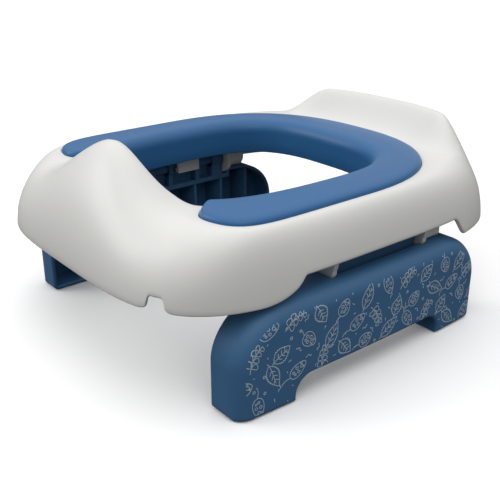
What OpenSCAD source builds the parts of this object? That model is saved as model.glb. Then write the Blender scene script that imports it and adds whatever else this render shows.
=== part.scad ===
// Folding travel potty chair: a moulded seat with a soft pad, on two hinged legs.
// Frame: +Z up, the floor at z = 0, front towards -Y, the mirror plane at x = 0.

/* [Seat] */
// Width across the side skirts
seat_w = 278; // [230:1:340]
// Length from the front skirt to the rear skirt
seat_l = 325; // [270:1:395]
// Height of the flat deck around the pad above the tops of the legs
deck_rise = 47.5; // [45:0.5:80]
// Height of the bottom edge of the front and rear skirts above the tops of the legs
skirt_rise = 1; // [-12:0.5:10]
// Height of the bottom edge of the side skirts above the tops of the legs
side_rise = 15; // [8:0.5:25]
// Wall thickness of the seat moulding
seat_wall = 3; // [2:0.1:4]
// Rise of the splash guard above the deck
guard_rise = 31.5; // [15:0.5:45]
// Rise of the rear lip above the deck
lip_rise = 23; // [10:0.5:35]

/* [Opening] */
// Width of the pad at each side of the opening
side_band = 37.5; // [28:0.5:50]
// Distance from the front skirt to the opening
hole_front_edge = 49; // [40:0.5:55]
// Distance from the rear skirt to the opening
hole_rear_edge = 82.5; // [70:0.5:95]
// Depth of the collar below the deck
collar_depth = 22.5; // [15:0.5:25]

/* [Pad] */
// Distance from a side skirt to the pad
pad_side_edge = 19.5; // [15:0.5:30]
// Distance from the front skirt to the reach of the pad's outline
pad_front_edge = 50.5; // [45:0.5:60]
// Distance from the rear skirt to the pad
pad_rear_edge = 41; // [35:0.5:50]
// Rise of the pad above the deck
pad_rise = 4; // [2:0.5:8]
// Thickness of the pad where it lines the collar
pad_lining = 2.6; // [1.5:0.1:4]
// Depth of the groove that the pad lies in
groove_depth = 4; // [2:0.5:6]
// Angle from the front at which the pad ends
pad_end = 36.5; // [30:0.5:42]

/* [Legs] */
// Height of a leg
leg_h = 72; // [60:0.5:87]
// Thickness of a leg across its feet
leg_t = 27; // [22:0.5:30]
// Distance from a side skirt to a leg's outer face at its ends
leg_edge = 3; // [3:0.5:8]
// Distance from an end of the seat to an end of a leg that stands in the middle
leg_end_edge = 44.5; // [35:0.5:60]
// Bulge of the outer face at the middle of a leg
leg_bulge = 3; // [0:0.5:6]
// Wall thickness of a leg
leg_wall = 3; // [2:0.1:4]
// Length of a foot between the leg's end and the arch
foot_reach = 47.5; // [42:0.5:60]
// Height of the arch between the feet
arch_h = 17; // [14:0.5:30]
// Place of a leg's middle along the seat
leg_y = -4.5; // [-10:0.5:10]

/* [Hinge] */
// Distance from a leg's outer face to the hinge axis
hinge_edge = 22; // [20:0.5:24]
// Height of the hinge axis above the top of the leg
hinge_rise = 10; // [8:0.5:11]
// Place of the hinge's middle along the seat
hinge_y = 11.75; // [5:0.25:20]
// Distance between the middles of the two ears of a hinge
ear_pitch = 90.5; // [76:0.5:94]
// Thickness of an ear
ear_t = 4; // [3:0.1:5]
// Diameter of a hinge pin
pin_d = 5; // [4:0.1:6]
// Radius of a hinge knuckle
knuckle_r = 7; // [6:0.1:7.5]
// Length of a hinge knuckle
knuckle_l = 12; // [8:0.5:16]

/* [Lock] */
// Width of a lock tab along the hinge
tab_w = 22; // [16:0.5:27]
// Thickness of a lock tab
tab_t = 3; // [2:0.1:4]
// Radius of the lock drum
drum_r = 6.5; // [5:0.1:7]
// Depth of a notch in the lock drum
notch_depth = 2.4; // [1.5:0.1:3]
// Width of a notch in the lock drum
notch_w = 3.6; // [3:0.1:5]

/* [Hidden] */
$fn = 48;

white = [0.91, 0.90, 0.88];
pad_blue = [0.27, 0.43, 0.63];
leg_blue = [0.21, 0.35, 0.52];
steel = [0.72, 0.73, 0.75];
rubber = [0.16, 0.19, 0.24];

gap = 0.3;
run_fit = 0.06;
over = 1;

// Heights and outlines that follow the sizes above
deck_z = leg_h + deck_rise;
skirt_z = leg_h + skirt_rise;
side_z = leg_h + side_rise;
collar_z = deck_z - collar_depth;
pad_w = seat_w - 2 * pad_side_edge;
pad_front = seat_l / 2 - pad_front_edge;
pad_rear = seat_l / 2 - pad_rear_edge;
hole_w = pad_w - 2 * side_band;
hole_front = seat_l / 2 - hole_front_edge;
hole_rear = seat_l / 2 - hole_rear_edge;
leg_l = seat_l - 2 * leg_end_edge;
leg_x = seat_w / 2 - leg_edge;
arch_l = leg_l - 2 * foot_reach;
hinge_x = leg_x - hinge_edge;
hinge_z = leg_h + hinge_rise;

// Exponents of the superellipse outlines: a higher one has squarer corners.
skirt_n = 4;
crest_n = 2.7;
groove_front_n = 8;
groove_rear_n = 2.45;
hole_front_n = 3.1;
hole_rear_n = 3;

// Shape of the seat's skirt, shoulder, guard and lip
crest_rear = seat_l / 2 - 6.5;
crest_margin = 2;
guard_rim = 2.1;
guard_span = 33.5;
guard_n = 1.8;
rim_n = 1.5;
lip_flat = 23;
lip_end = 39.5;
lip_hollow = [5.5, -5];
cut_front = leg_y - 63;
cut_rear = leg_y + 84;
cut_ramp_front = 30;
cut_ramp_rear = 14;
end_step = 0.9;
end_round = 6;
end_round_span = 3;
end_angles = [0, 0.3, 0.9, 1.8];

// Rows and columns of the seat's surface
shoulder_steps = 10;
rim_steps = 5;
pad_columns = 84;
front_columns = 20;

ledge_z = deck_z - groove_depth;
ledge_t = 4;
under_z = ledge_z - ledge_t;
both_ends = [-1, 1];

function clamp01(v) = min(max(v, 0), 1);
function smooth(a, b, v) = let (t = clamp01((v - a) / (b - a))) t * t * (3 - 2 * t);
function mix(a, b, t) = a + (b - a) * t;
function span(middle, half) = [middle - half, middle + half];
function from_front(phi) = acos(max(min(-sin(phi), 1), -1));
function superellipse(phi, half_w, front, rear, n_front, n_rear) =
    let (reach = sin(phi) < 0 ? front : rear, n = sin(phi) < 0 ? n_front : n_rear)
    pow(pow(abs(cos(phi)) / half_w, n) + pow(abs(sin(phi)) / reach, n), -1 / n);
function bezier(p, t) =
    pow(1 - t, 3) * p[0] + 3 * pow(1 - t, 2) * t * p[1] + 3 * (1 - t) * t * t * p[2] + pow(t, 3) * p[3];

// Turns from the front of the columns along the pad, closer together where its ends are rounded
pad_turns = concat(
    [for (e = end_angles) pad_end + e],
    [for (i = [0:pad_columns])
        mix(pad_end + end_round_span, 360 - pad_end - end_round_span, i / pad_columns)],
    [for (i = [len(end_angles) - 1:-1:0]) 360 - pad_end - end_angles[i]]
);

// Outlines of the seat as radii around the vertical axis, at the angle phi
function skirt_r(phi) = superellipse(phi, seat_w / 2, seat_l / 2, seat_l / 2, skirt_n, skirt_n);
function hole_r(phi) =
    superellipse(phi, hole_w / 2, hole_front, hole_rear, hole_front_n, hole_rear_n);
function pad_oval_r(phi) =
    superellipse(phi, pad_w / 2, pad_front, pad_rear, groove_front_n, groove_rear_n);
function pad_edge_r(phi) =
    let (near = 1 - clamp01((from_front(phi) - pad_end) / end_round_span))
    pad_oval_r(phi) - end_round * (1 - sqrt(1 - near * near));
function to_guard(phi, edge) =
    let (a = from_front(phi), least = hole_r(phi) + guard_rim)
    a >= pad_end ? edge : max(least, mix(least, edge, pow(smooth(0, pad_end, a), rim_n)));
function groove_r(phi) = to_guard(phi, pad_edge_r(phi));
function crest_r(phi) =
    let (least = to_guard(phi, pad_oval_r(phi)) + crest_margin)
    sin(phi) < 0 ? least
        : max(least, superellipse(phi, pad_w / 2 + crest_margin, 1, crest_rear, crest_n, crest_n));

// Heights of the seat at the angle phi
function guard_part(phi) =
    let (a = from_front(phi)) a < guard_span ? pow(cos(90 * a / guard_span), guard_n) : 0;
function lip_part(phi) = 1 - smooth(lip_flat, lip_end, 180 - from_front(phi));
function crest_z(phi) = deck_z + guard_rise * guard_part(phi) + lip_rise * lip_part(phi);
function rim_z(phi) = deck_z + guard_rise * guard_part(phi) - 0.5 * guard_part(phi);
function edge_z(phi) =
    let (y = skirt_r(phi) * sin(phi))
    y < 0 ? mix(skirt_z, side_z, smooth(cut_front - cut_ramp_front, cut_front, y))
        : mix(side_z, skirt_z, smooth(cut_rear, cut_rear + cut_ramp_rear, y));

// Control points of the outer surface, from the skirt's edge to the crest and on to the groove
function skirt_curve(phi, inset) =
    let (s = skirt_r(phi), c = crest_r(phi), h = crest_z(phi), low = edge_z(phi),
         lip = lip_part(phi), pull = (s - c) * (0.6 - 0.3 * guard_part(phi) - 0.18 * lip))
    [[s - inset, low],
     [s - 1.5 - 1.5 * lip - inset, low + 0.55 * (h - low) - inset / 2],
     [c + pull - inset, h - inset],
     [c - mix(0.25, 1, lip) * inset, h - inset]];
function rim_curve(phi) =
    let (c = crest_r(phi), g = groove_r(phi), h = crest_z(phi))
    [[c, h], [c - 0.25 * (c - g), h], [mix(g, c, 0.45), rim_z(phi)], [g, rim_z(phi)]];

// One radial section of the seat as a closed outline of [radius, height]
function seat_section(phi, has_pad) =
    let (hole = hole_r(phi) + (has_pad ? pad_lining : 0),
         shelf = has_pad ? ledge_z : rim_z(phi) - 1,
         floor_z = has_pad ? under_z : shelf - seat_wall,
         hang = has_pad ? floor_z : floor_z - 0.5,
         outer = skirt_curve(phi, 0), rim = rim_curve(phi),
         inner = skirt_curve(phi, seat_wall), g = groove_r(phi),
         inner_end = [g + seat_wall, hang], c = inner[3],
         knee = mix(inner_end, c, 0.35) + lip_part(phi) * lip_hollow)
    concat(
        [for (i = [0:shoulder_steps]) bezier(outer, i / shoulder_steps)],
        [for (i = [1:rim_steps]) bezier(rim, i / rim_steps)],
        [[g, shelf], [hole, shelf], [hole, collar_z],
         [hole + seat_wall, collar_z], [hole + seat_wall, floor_z],
         [max(g, hole + seat_wall + 0.6), floor_z]],
        [for (i = [1:rim_steps])
            bezier([inner_end, knee, [mix(g, c[0], 0.8), c[1] - 0.2], c], i / rim_steps)],
        [for (i = [shoulder_steps - 1:-1:0]) bezier(inner, i / shoulder_steps)]
    );
function around(phi, section) =
    [for (p = section) [p[0] * cos(phi), p[0] * sin(phi), p[1]]];

// Faces that join closed outlines of m points into a ring (or a bar with two ends)
function skin_faces(n, m, closed) = concat(
    [for (i = [0:(closed ? n : n - 1) - 1]) for (j = [0:m - 1]) for (half = [0, 1])
        let (a = i * m, b = ((i + 1) % n) * m, k = (j + 1) % m)
        half == 0 ? [a + j, b + k, b + j] : [a + j, a + k, b + k]],
    closed ? [] : [[for (j = [m - 1:-1:0]) j]],
    closed ? [] : [[for (j = [0:m - 1]) (n - 1) * m + j]]
);

// Pad outline, a hook that lies on the ledge and lines the collar
pad_gap = 0.1;
pad_round_out = 9;
pad_round_in = 10;
pad_steps = 4;
function pad_section(phi) =
    let (g = groove_r(phi) - pad_gap, h = hole_r(phi), width = g - h,
         ro = min(pad_round_out, 0.35 * width), ri = min(pad_round_in, 0.35 * width),
         top = deck_z + pad_rise, low = collar_z - 1, lining = pad_lining - pad_gap,
         outer = [[g, deck_z - 1], [g + 0.3, top - 1], [g - 0.45 * ro, top], [g - ro, top]],
         inner = [[h + ri, top], [h + 0.5 * ri, top], [h, top - 0.3 * ri], [h, top - ri]])
    concat(
        [[g, ledge_z]],
        [for (i = [0:pad_steps]) bezier(outer, i / pad_steps)],
        [[mix(g - ro, h + ri, 0.5), top + 0.6]],
        [for (i = [0:pad_steps]) bezier(inner, i / pad_steps)],
        [[h, low + 1], [h + 0.6, low], [h + lining, low], [h + lining, ledge_z]]
    );

// Legs: outlines in the leg's own frame, with y measured from its middle
foot_proud = 0.6;
end_run = 43;
end_drop = 37;
end_steps = 9;
arch_r = 13;
arch_steps = 6;
edge_r = 12;
edge_steps = 6;
plan_steps = 28;
rib_t = 2.4;
rib_count = 7;
rib_set_back = 2;
leg_in = leg_x - leg_t;

function leg_side_outline(inset) =
    let (run = end_run - inset, drop = end_drop - inset, cy = leg_l / 2 - end_run, cz = leg_h - end_drop,
         base = foot_proud + inset, ay = arch_l / 2 - arch_r, az = arch_h - arch_r, ar = arch_r + inset)
    concat(
        [[-leg_l / 2 + inset, base]],
        [for (i = [0:end_steps]) let (t = 180 - 90 * i / end_steps) [-cy + run * cos(t), cz + drop * sin(t)]],
        [for (i = [0:end_steps]) let (t = 90 - 90 * i / end_steps) [cy + run * cos(t), cz + drop * sin(t)]],
        [[leg_l / 2 - inset, base], [ay + ar, base]],
        [for (i = [0:arch_steps]) let (t = 90 * i / arch_steps) [ay + ar * cos(t), az + ar * sin(t)]],
        [for (i = [0:arch_steps]) let (t = 90 + 90 * i / arch_steps) [-ay + ar * cos(t), az + ar * sin(t)]],
        [[-ay - ar, base]]
    );
function outer_face_x(y) =
    let (over_end = max(abs(y) - (leg_l / 2 - edge_r), 0))
    leg_x + leg_bulge * (1 - pow(2 * y / leg_l, 2)) - edge_r
    + sqrt(max(edge_r * edge_r - over_end * over_end, 0));

module along_x(x0, x1) {
    translate([x0, 0, 0]) rotate([90, 0, 90]) linear_extrude(x1 - x0) children();
}
module along_y(y0, y1) {
    translate([0, y1, 0]) rotate([90, 0, 0]) linear_extrude(y1 - y0) children();
}
module pin_y(x, z, y0, y1, r) {
    translate([x, y1, z]) rotate([90, 0, 0]) cylinder(h = y1 - y0, r = r);
}
module box(x, y, z) {
    translate([x[0], y[0], z[0]]) cube([x[1] - x[0], y[1] - y[0], z[1] - z[0]]);
}

module leg_form(inset, x_from) {
    x_top = leg_x + leg_bulge - inset;
    z_top = leg_h - inset;
    r = edge_r - inset / 2;
    intersection() {
        along_x(x_from, x_top + over) polygon(leg_side_outline(inset));
        linear_extrude(leg_h + over)
            polygon(concat(
                [[x_from, leg_l / 2], [x_from, -leg_l / 2]],
                [for (i = [0:plan_steps])
                    let (y = leg_l / 2 * sin(180 * i / plan_steps - 90)) [outer_face_x(y) - inset, y]]
            ));
        along_y(-leg_l / 2, leg_l / 2)
            polygon(concat(
                [[x_from, z_top], [x_from, 0], [x_top, 0]],
                [for (i = [0:edge_steps]) let (t = 90 * i / edge_steps)
                    [x_top - r + r * cos(t), z_top - r + r * sin(t)]]
            ));
    }
}

// Hinge zone of a leg
shelf_z = leg_h - 5;
shelf_t = 4;
recess_x = hinge_x + 10;
ear_flat_z = hinge_z - 13.5;
ear_x = hinge_x + 12;
ear_corner_r = 6;
pocket_gap = 1;
ear_gap = 0.4;
hinge_half = ear_pitch / 2 - ear_t / 2 - ear_gap;
recess_half = ear_pitch / 2 + ear_t / 2 + pocket_gap;
shelf_out = ear_x + pocket_gap + 3;
wall_x = hinge_x + 2.5;
wall_t = 2.5;
wall_rise = 3;
post_t = 4;
post_x = hinge_x - 5;
post_half = tab_w / 2 + post_t / 2 + 1.5;
bar_r = 4;
drum_half = post_half - post_t / 2;

module leg_hinge() {
    difference() {
        union() {
            box([wall_x, wall_x + wall_t], [-hinge_half, hinge_half], [shelf_z - over, hinge_z + wall_rise]);
            for (s = both_ends) {
                y_end = s * (hinge_half - knuckle_l / 2);
                box([post_x, wall_x + over], span(y_end, knuckle_l / 2), [shelf_z - over, hinge_z]);
                pin_y(hinge_x, hinge_z, y_end - knuckle_l / 2, y_end + knuckle_l / 2, knuckle_r);
                y_mid = s * post_half;
                box([post_x, wall_x + over], span(y_mid, post_t / 2), [shelf_z - over, hinge_z]);
                pin_y(hinge_x, hinge_z, y_mid - post_t / 2, y_mid + post_t / 2, knuckle_r);
            }
            pin_y(hinge_x, hinge_z, -hinge_half + over, hinge_half - over, bar_r);
            pin_y(hinge_x, hinge_z, -drum_half - over, drum_half + over, drum_r);
        }
        for (s = both_ends)
            pin_y(hinge_x, hinge_z, s * hinge_half - knuckle_l - over / 2,
                  s * hinge_half + knuckle_l + over / 2, pin_d / 2 + run_fit);
        box([hinge_x - drum_r - over, hinge_x - drum_r + notch_depth],
            [-drum_half, drum_half], span(hinge_z, notch_w / 2));
        box(span(hinge_x, notch_w / 2),
            [-drum_half, drum_half], [hinge_z - drum_r - over, hinge_z - drum_r + notch_depth]);
    }
}

// Rubber foot pads
foot_l = 34;
foot_w = 19;
foot_t = 2;
foot_x = leg_x - leg_t / 2;
foot_y = (leg_l + arch_l) / 4;

module foot_outline(grow) {
    for (s = both_ends)
        translate([foot_x, s * (foot_l - foot_w) / 2]) circle(r = foot_w / 2 + grow);
    translate([foot_x - foot_w / 2 - grow, -(foot_l - foot_w) / 2])
        square([foot_w + 2 * grow, foot_l - foot_w]);
}

module leg() {
    hinge_shift = hinge_y - leg_y;
    color(leg_blue) translate([0, leg_y, 0]) {
        difference() {
            union() {
                difference() {
                    leg_form(0, leg_in);
                    leg_form(leg_wall, leg_in - over);
                }
                intersection() {
                    leg_form(leg_wall / 2, leg_in - over);
                    leg_inside(hinge_shift);
                }
            }
            translate([0, hinge_shift, 0]) leg_recess();
            for (s = both_ends)
                translate([0, s * foot_y, -over]) linear_extrude(foot_t + over) foot_outline(pad_gap);
        }
        translate([0, hinge_shift, 0]) leg_hinge();
    }
}

// Ribs across the inside of a leg, and the block that the hinge stands in
module leg_inside(hinge_shift) {
    for (i = [1:rib_count])
        box([leg_in + rib_set_back, leg_x + leg_bulge],
            span(leg_l * (i / (rib_count + 1) - 0.5), rib_t / 2), [0, leg_h]);
    box([leg_in, shelf_out], span(hinge_shift, recess_half + leg_wall), [shelf_z - shelf_t, leg_h]);
}

// Room above the shelf for the hinge, with a deeper pocket for each ear
module leg_recess() {
    box([leg_in - over, recess_x], [-recess_half, recess_half], [shelf_z, leg_h + over]);
    for (s = both_ends)
        box([leg_in - over, ear_x + pocket_gap],
            span(s * ear_pitch / 2, ear_t / 2 + ear_gap), [shelf_z, leg_h + over]);
}

module foot(s) {
    color(rubber) translate([0, leg_y + s * foot_y, 0]) linear_extrude(foot_t) foot_outline(0);
}

// Hinge brackets, with their places measured from the hinge axis
flange_t = 3;
flange_top = under_z - 0.1;
flange_in = hinge_x - 19;
flange_out = hinge_x + 7;
flange_half = 9.5;
ear_in_r = hinge_z - ear_flat_z;
block_l = 17;
block_out = hinge_x + 10;
block_gap = 0.4;
block_r = hinge_z - leg_h - block_gap;
screw_d = 3.5;
screw_head_d = 7;
screw_head_t = 2;
screw_in = 3.3;
screw_x = hinge_x - 13.5;
screw_side = 6.2;
bracket_fit = 0.1;

module hinge_plate(r, x_out, corner, top) {
    translate([hinge_x, hinge_z]) circle(r = r);
    translate([hinge_x - r, hinge_z]) square([x_out - hinge_x + r, top - hinge_z]);
    translate([hinge_x, hinge_z - r]) square([x_out - corner - hinge_x, r + over]);
    translate([x_out - corner, hinge_z - r + corner]) circle(r = corner);
    translate([hinge_x, hinge_z - r + corner]) square([x_out - hinge_x, r - corner + over]);
}

module bracket(s, has_block) {
    y = hinge_y + s * ear_pitch / 2;
    flange_far = has_block ? ear_t / 2 + block_l : flange_half;
    color(white) difference() {
        union() {
            along_y(y - ear_t / 2, y + ear_t / 2)
                hinge_plate(ear_in_r, ear_x, ear_corner_r, flange_top - flange_t + over);
            if (has_block)
                along_y(y + ear_t / 2 - over / 2, y + ear_t / 2 + block_l)
                    hinge_plate(block_r, block_out, 3, flange_top - flange_t + over);
            box([flange_in, flange_out], [y - flange_half, y + flange_far],
                [flange_top - flange_t, flange_top]);
        }
        pin_y(hinge_x, hinge_z, y - ear_t, y + ear_t + block_l + over, pin_d / 2);
        for (side = both_ends)
            translate([screw_x, y + side * screw_side, flange_top - flange_t - over])
                cylinder(h = flange_t + 2 * over, d = screw_d + bracket_fit);
    }
}

module screw(x, y) {
    color(steel) translate([x, y, flange_top - flange_t - screw_head_t - pad_gap]) {
        difference() {
            cylinder(h = screw_head_t, d = screw_head_d);
            translate([-screw_head_d / 3, -0.5, -over]) cube([screw_head_d / 1.5, 1, over + 0.8]);
            translate([-0.5, -screw_head_d / 3, -over]) cube([1, screw_head_d / 1.5, over + 0.8]);
        }
        translate([0, 0, screw_head_t - over / 2])
            cylinder(h = flange_t + screw_in + over / 2, d = screw_d);
    }
}

module bracket_screws() {
    for (mx = [0, 1]) mirror([mx, 0, 0])
        for (s = both_ends) for (side = both_ends)
            screw(screw_x, hinge_y + s * ear_pitch / 2 + side * screw_side);
}

// Hinge pins, pressed into a bracket and running in a knuckle
pin_head_r = 4.5;
pin_head_t = 1.5;
module hinge_pin(s, has_block) {
    outside = ear_pitch / 2 + ear_t / 2 + (has_block ? block_l : 0);
    inside = hinge_half - knuckle_l + over;
    color(steel) translate([0, hinge_y, 0]) {
        pin_y(hinge_x, hinge_z, min(s * outside, s * inside), max(s * outside, s * inside), pin_d / 2);
        pin_y(hinge_x, hinge_z, min(s * outside, s * (outside + pin_head_t)),
              max(s * outside, s * (outside + pin_head_t)), pin_head_r);
    }
}

// Lock: a tab that slides in its housing, with a nose that drops into the drum's notches
nose_l = notch_depth + 0.6;
nose_t = notch_w - 2 * gap;
tab_x = hinge_x - drum_r - gap - nose_l;
tab_low = hinge_z - 2;
tab_top = under_z - 4.5;
tab_head_z = tab_top - 4;
tab_head_l = 3;
head_extra = 3;
tab_travel = notch_depth;
housing_floor = 4;
housing_low = tab_head_z - tab_head_l / 2 - gap - housing_floor;
housing_wall = 2.5;
spring_room = 7.2;
housing_in = tab_x - tab_t - spring_room - housing_wall;
housing_out = tab_x + tab_travel + 5;
housing_half = tab_w / 2 + head_extra + gap + housing_wall;
housing_ear = 8;
housing_screw_y = housing_half + housing_ear / 2;
wire_r = 0.4;
spring_r = 2.6;
spring_turns = 6;
spring_steps = 12;
spring_z = (tab_head_z + tab_top) / 2;

module lock_tab() {
    color(white) translate([0, hinge_y, 0]) {
        box([tab_x - tab_t, tab_x], [-tab_w / 2, tab_w / 2], [tab_low, tab_top]);
        box([tab_x - tab_t, tab_x], [-tab_w / 2 - head_extra, tab_w / 2 + head_extra],
            [tab_head_z - tab_head_l / 2, tab_top]);
        box([tab_x - over, tab_x + nose_l], [-tab_w / 2 + gap, tab_w / 2 - gap],
            span(hinge_z, nose_t / 2));
    }
}

module lock_housing() {
    slot_in = tab_x - tab_t - gap;
    slot_out = tab_x + tab_travel + gap;
    head_low = tab_head_z - tab_head_l / 2 - gap;
    color(white) translate([0, hinge_y, 0]) difference() {
        union() {
            box([housing_in, housing_out], [-housing_half, housing_half], [housing_low, flange_top]);
            box([screw_x - 5, screw_x + 5], [-housing_half - housing_ear, housing_half + housing_ear],
                [flange_top - flange_t, flange_top]);
        }
        box([slot_in, slot_out], [-tab_w / 2 - gap, tab_w / 2 + gap],
            [housing_low - over, flange_top + over]);
        box([housing_in + housing_wall, slot_out],
            [-tab_w / 2 - head_extra - gap, tab_w / 2 + head_extra + gap], [head_low, flange_top + over]);
        for (side = both_ends)
            translate([screw_x, side * housing_screw_y, flange_top - flange_t - over])
                cylinder(h = flange_t + 2 * over, d = screw_d + bracket_fit);
    }
}

module housing_screws() {
    for (mx = [0, 1]) mirror([mx, 0, 0])
        for (side = both_ends) screw(screw_x, hinge_y + side * housing_screw_y);
}

module lock_spring() {
    x0 = housing_in + housing_wall + wire_r + pad_gap;
    run = spring_room - 2 * (wire_r + pad_gap);
    n = spring_turns * spring_steps;
    sides = 6;
    points = [for (i = [0:n]) for (j = [0:sides - 1])
        let (t = 360 * i / spring_steps, u = 360 * j / sides, r = spring_r + wire_r * cos(u))
        [x0 + run * i / n + wire_r * sin(u), hinge_y + r * cos(t), spring_z + r * sin(t)]];
    color(steel) polyhedron(points, skin_faces(n + 1, sides, false), convexity = 8);
}

module seat_shell() {
    front_reach = pad_end - end_step;
    sections = concat(
        [for (turn = pad_turns) around(turn - 90, seat_section(turn - 90, true))],
        [for (i = [0:front_columns])
            let (phi = mix(-front_reach, front_reach, i / front_columns) - 90)
            around(phi, seat_section(phi, false))]
    );
    faces = skin_faces(len(sections), len(sections[0]), true);
    color(white) polyhedron([for (s = sections) each s], faces, convexity = 8);
}

module seat_pad() {
    sections = [for (i = [1:len(pad_turns) - 2])
        around(pad_turns[i] - 90, pad_section(pad_turns[i] - 90))];
    faces = skin_faces(len(sections), len(sections[0]), false);
    color(pad_blue) polyhedron([for (s = sections) each s], faces, convexity = 6);
}

seat_shell();
seat_pad();
bracket(-1, false);  // right_front_bracket
bracket(1, true);  // right_rear_bracket
mirror([1, 0, 0]) bracket(-1, false);  // left_front_bracket
mirror([1, 0, 0]) bracket(1, true);  // left_rear_bracket
bracket_screws();
hinge_pin(-1, false);  // right_front_pin
hinge_pin(1, true);  // right_rear_pin
mirror([1, 0, 0]) hinge_pin(-1, false);  // left_front_pin
mirror([1, 0, 0]) hinge_pin(1, true);  // left_rear_pin
leg();  // right_leg
mirror([1, 0, 0]) leg();  // left_leg
foot(-1);  // right_front_foot
foot(1);  // right_rear_foot
mirror([1, 0, 0]) foot(-1);  // left_front_foot
mirror([1, 0, 0]) foot(1);  // left_rear_foot
lock_housing();  // right_lock_housing
mirror([1, 0, 0]) lock_housing();  // left_lock_housing
housing_screws();
lock_tab();  // right_lock_tab
mirror([1, 0, 0]) lock_tab();  // left_lock_tab
lock_spring();  // right_lock_spring
mirror([1, 0, 0]) lock_spring();  // left_lock_spring
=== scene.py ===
"""Folding travel potty chair: its visible pieces and finishes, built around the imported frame.

The shapes are worked out in millimetres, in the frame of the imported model, and put into the
meshes in metres. A turn is an angle in degrees around the vertical axis, from the front (-Y)
towards the right (+X).
"""

import logging
import math
from collections.abc import Iterator
from contextlib import contextmanager
from dataclasses import dataclass, field
from enum import Enum

import bmesh
import bpy
import numpy as np
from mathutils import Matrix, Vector, geometry


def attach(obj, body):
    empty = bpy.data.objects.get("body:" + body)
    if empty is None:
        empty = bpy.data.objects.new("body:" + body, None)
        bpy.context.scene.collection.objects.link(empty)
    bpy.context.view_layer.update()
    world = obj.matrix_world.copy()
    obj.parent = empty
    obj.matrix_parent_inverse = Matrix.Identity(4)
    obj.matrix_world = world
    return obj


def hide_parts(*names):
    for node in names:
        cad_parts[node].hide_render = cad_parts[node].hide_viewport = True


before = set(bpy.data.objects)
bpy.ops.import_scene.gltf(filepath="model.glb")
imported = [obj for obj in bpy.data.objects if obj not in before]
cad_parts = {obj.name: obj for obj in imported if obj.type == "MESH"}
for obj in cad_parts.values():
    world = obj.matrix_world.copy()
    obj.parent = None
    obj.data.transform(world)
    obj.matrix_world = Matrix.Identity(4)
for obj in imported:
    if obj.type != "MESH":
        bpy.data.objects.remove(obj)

LOG = logging.getLogger("potty_chair")
MM = 0.001
CREASE = 40
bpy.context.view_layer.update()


class Side(Enum):
    """The two sides of the chair, with the sign of x on each."""

    RIGHT = 1
    LEFT = -1

    @property
    def word(self) -> str:
        """The side's name as it stands in the names of nodes and bodies."""
        return self.name.lower()


class End(Enum):
    """The two ends of a hinge or leg, with the sign of y at each."""

    FRONT = -1
    REAR = 1

    @property
    def word(self) -> str:
        """The end's name as it stands in the names of nodes."""
        return self.name.lower()


# Curves


def mix(a: np.ndarray, b: np.ndarray, t: np.ndarray) -> np.ndarray:
    """The straight blend a + (b - a) t."""
    return a + (b - a) * t


def smooth(a: float, b: float, v: np.ndarray) -> np.ndarray:
    """A soft step from 0 at a to 1 at b: 3t squared less 2t cubed."""
    t = np.clip((v - a) / (b - a), 0, 1)
    return t * t * (3 - 2 * t)


def soft_min(a: np.ndarray, b: np.ndarray, width: float) -> np.ndarray:
    """The smaller of a and b, with the corner between them rounded over the width."""
    h = np.clip(0.5 + 0.5 * (b - a) / width, 0, 1)
    return mix(b, a, h) - width * h * (1 - h)


def bezier(points: np.ndarray, t: np.ndarray) -> np.ndarray:
    """Cubic Bezier curves, one for each row of control points.

    Args:
        points: control points, of shape (n, 4, k).
        t: places along the curves, of shape (n, m) or (m,).

    Returns:
        Points of shape (n, m, k): the sum of (1-t)^3, 3(1-t)^2 t, 3(1-t)t^2 and t^3 times the
        four control points.
    """
    t = np.broadcast_to(t, (len(points), np.shape(t)[-1]))[..., None]
    p0, p1, p2, p3 = (points[:, i, None, :] for i in range(4))
    return (1 - t) ** 3 * p0 + 3 * (1 - t) ** 2 * t * p1 + 3 * (1 - t) * t**2 * p2 + t**3 * p3


def place_at_height(points: np.ndarray, height: np.ndarray) -> np.ndarray:
    """Where Bezier curves that rise all the way reach a height, found by halving.

    Args:
        points: control points of [radius, height], of shape (n, 4, 2).
        height: the height wanted on each curve, of shape (n,).

    Returns:
        The places along the curves, of shape (n,).
    """
    low, high = np.zeros(len(points)), np.ones(len(points))
    for _ in range(30):
        middle = (low + high) / 2
        below = bezier(points, middle[:, None])[:, 0, 1] < height
        low, high = np.where(below, middle, low), np.where(below, high, middle)
    return (low + high) / 2


def spin(angle: float) -> np.ndarray:
    """The matrix that turns points, as rows, by an angle in radians."""
    return np.array([[math.cos(angle), math.sin(angle)], [-math.sin(angle), math.cos(angle)]])


def columns(*parts: np.ndarray) -> np.ndarray:
    """Points [radius, height] of sections, from pairs that each broadcast to (n,), as (n, k, 2)."""
    rows = [np.stack(np.broadcast_arrays(r, z), -1) for r, z in parts]
    return np.stack(np.broadcast_arrays(*rows), 1)


# Meshes


@contextmanager
def editing(source: bpy.types.Mesh, target: bpy.types.Mesh) -> Iterator[bmesh.types.BMesh]:
    """Opens a mesh for editing, and puts the result into a mesh, the same or another.

    Args:
        source: the mesh that is read.
        target: the mesh that is written.

    Yields:
        The editable mesh.
    """
    edited = bmesh.new()
    edited.from_mesh(source)
    yield edited
    edited.to_mesh(target)
    edited.free()


def shade(mesh: bpy.types.Mesh, crease: float) -> None:
    """Makes a mesh smooth, apart from edges bent more than the crease, in degrees."""
    mesh.shade_smooth()
    mesh.set_sharp_from_angle(angle=math.radians(crease))


def placed(name: str, data: bpy.types.ID) -> bpy.types.Object:
    """A new object that holds a mesh, a light or a camera, linked to the scene."""
    obj = bpy.data.objects.new(name, data)
    bpy.context.scene.collection.objects.link(obj)
    return obj


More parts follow.
